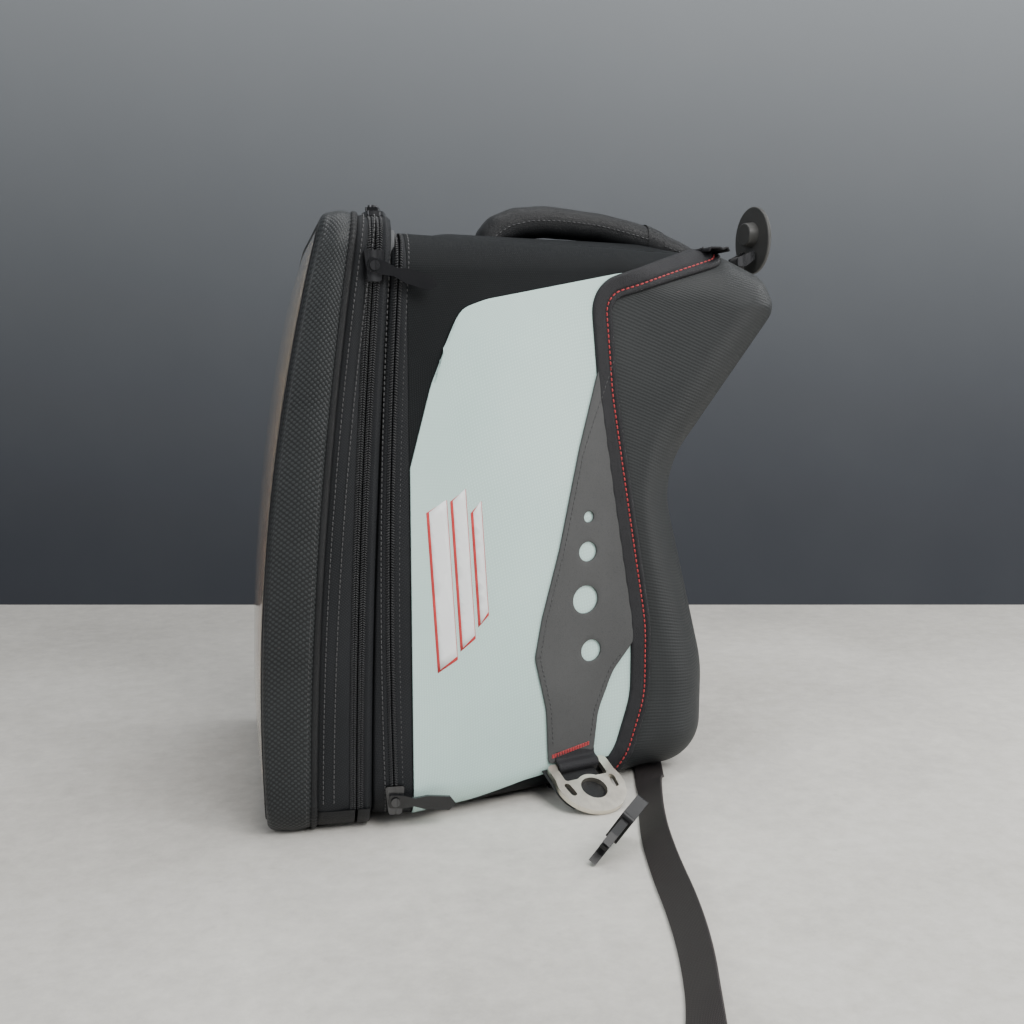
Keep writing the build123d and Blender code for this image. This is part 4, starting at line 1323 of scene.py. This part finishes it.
STRAP_LEVEL = 1.1 * MM
guide = nurbs("strap_guide", [(x * MM + ORIGIN_SHIFT, y * MM, STRAP_LEVEL) for x, y in STRAP_ROUTE])
guide_mesh = bpy.data.meshes.new_from_object(guide)
strap_path = np.array([v.co[:] for v in guide_mesh.vertices])
bpy.data.objects.remove(guide)
strap_path = spaced(strap_path, 3 * MM)
tangent = np.gradient(strap_path, axis=0)
tangent /= np.linalg.norm(tangent, axis=1, keepdims=True)
side = np.stack([-tangent[:, 1], tangent[:, 0], 0 * tangent[:, 0]], axis=1)
rows = []
for i, p in enumerate(strap_path):
    t = i / (len(strap_path) - 1)
    tilt = math.radians(44) * eased((t - 0.08) / 0.14) * eased((1.02 - t) / 0.2)
    row = []
    for s in np.linspace(-1, 1, 15):
        level = (1 + s) * math.sin(tilt) * STRAP_WIDTH / 2
        row.append(p + side[i] * s * math.cos(tilt) * STRAP_WIDTH / 2 + np.array([-ORIGIN_SHIFT, 0, level]))
    rows.append(row)
strap = cloth_grid("floor_strap", np.array(rows), STRAP_CLOTH)
modifier(strap, "SOLIDIFY", thickness=STRAP_THICK, offset=0.0)
modifier(strap, "BEVEL", width=0.4 * MM, segments=2, limit_method="ANGLE", angle_limit=math.radians(50))
apply_all(strap)
place(strap, "bag", "webbing", "strap")


# ---------------------------------------------------------------- floor, backdrop, light and camera

def stage_plane(name, corners, material):
    """A flat floor or backdrop."""
    obj = new_object(name, corners, [(0, 1, 2, 3)], material, smooth=False)


WALL_HEIGHT = 2.4

camera_data = bpy.data.cameras.new("camera")
camera_data.lens = 42
camera_data.sensor_width = 36
camera_data.clip_start = 0.01
camera = bpy.data.objects.new("camera", camera_data)
bpy.context.scene.collection.objects.link(camera)
camera.location = (-0.172 + ORIGIN_SHIFT, -0.832, 0.300)
camera.rotation_euler = (math.radians(82), 0, math.radians(-12))
bpy.context.scene.camera = camera

stage_plane("floor", [(-4, -3, 0), (4, -3, 0), (4, 3, 0), (-4, 3, 0)], concrete())
view_way = np.array([math.sin(math.radians(12)), math.cos(math.radians(12))])
view_side = np.array([view_way[1], -view_way[0]])
wall_middle = np.array([-0.172, -0.832]) + view_way * 1.36
wall_left, wall_right = wall_middle - view_side * 3, wall_middle + view_side * 3
wall_corners = [(*wall_left, 0), (*wall_right, 0), (*wall_right, WALL_HEIGHT), (*wall_left, WALL_HEIGHT)]
stage_plane("backdrop", wall_corners, wall_and_painted_light())


def area_light(name, place_at, aim, size, power, colour=(1, 1, 1)):
    light = bpy.data.lights.new(name, "AREA")
    light.shape = "RECTANGLE"
    light.size, light.size_y = size
    light.energy = power
    light.color = colour
    obj = bpy.data.objects.new(name, light)
    obj.location = place_at
    obj.rotation_euler = (Vector(aim) - Vector(place_at)).to_track_quat("-Z", "Y").to_euler()
    bpy.context.scene.collection.objects.link(obj)


area_light("key", (0.55, -1.15, 1.25), (0.0, 0.0, 0.18), (1.1, 0.9), 27, (1.0, 0.99, 0.97))
area_light("fill", (-1.3, -0.9, 0.9), (-0.1, 0.0, 0.2), (1.0, 1.2), 12, (0.97, 0.98, 1.0))
area_light("top", (0.1, 0.05, 1.5), (0.0, 0.0, 0.2), (1.3, 0.8), 13)
area_light("rim", (1.1, 0.22, 0.8), (0.15, 0.0, 0.2), (0.5, 0.9), 9)
area_light("kick", (0.95, -0.62, 0.22), (0.12, -0.05, 0.08), (0.5, 0.35), 4)
world = bpy.data.worlds.new("world")
bpy.context.scene.world = world
world.use_nodes = True
world.node_tree.nodes["Background"].inputs["Color"].default_value = (0.80, 0.84, 0.90, 1)
world.node_tree.nodes["Background"].inputs["Strength"].default_value = 0.25
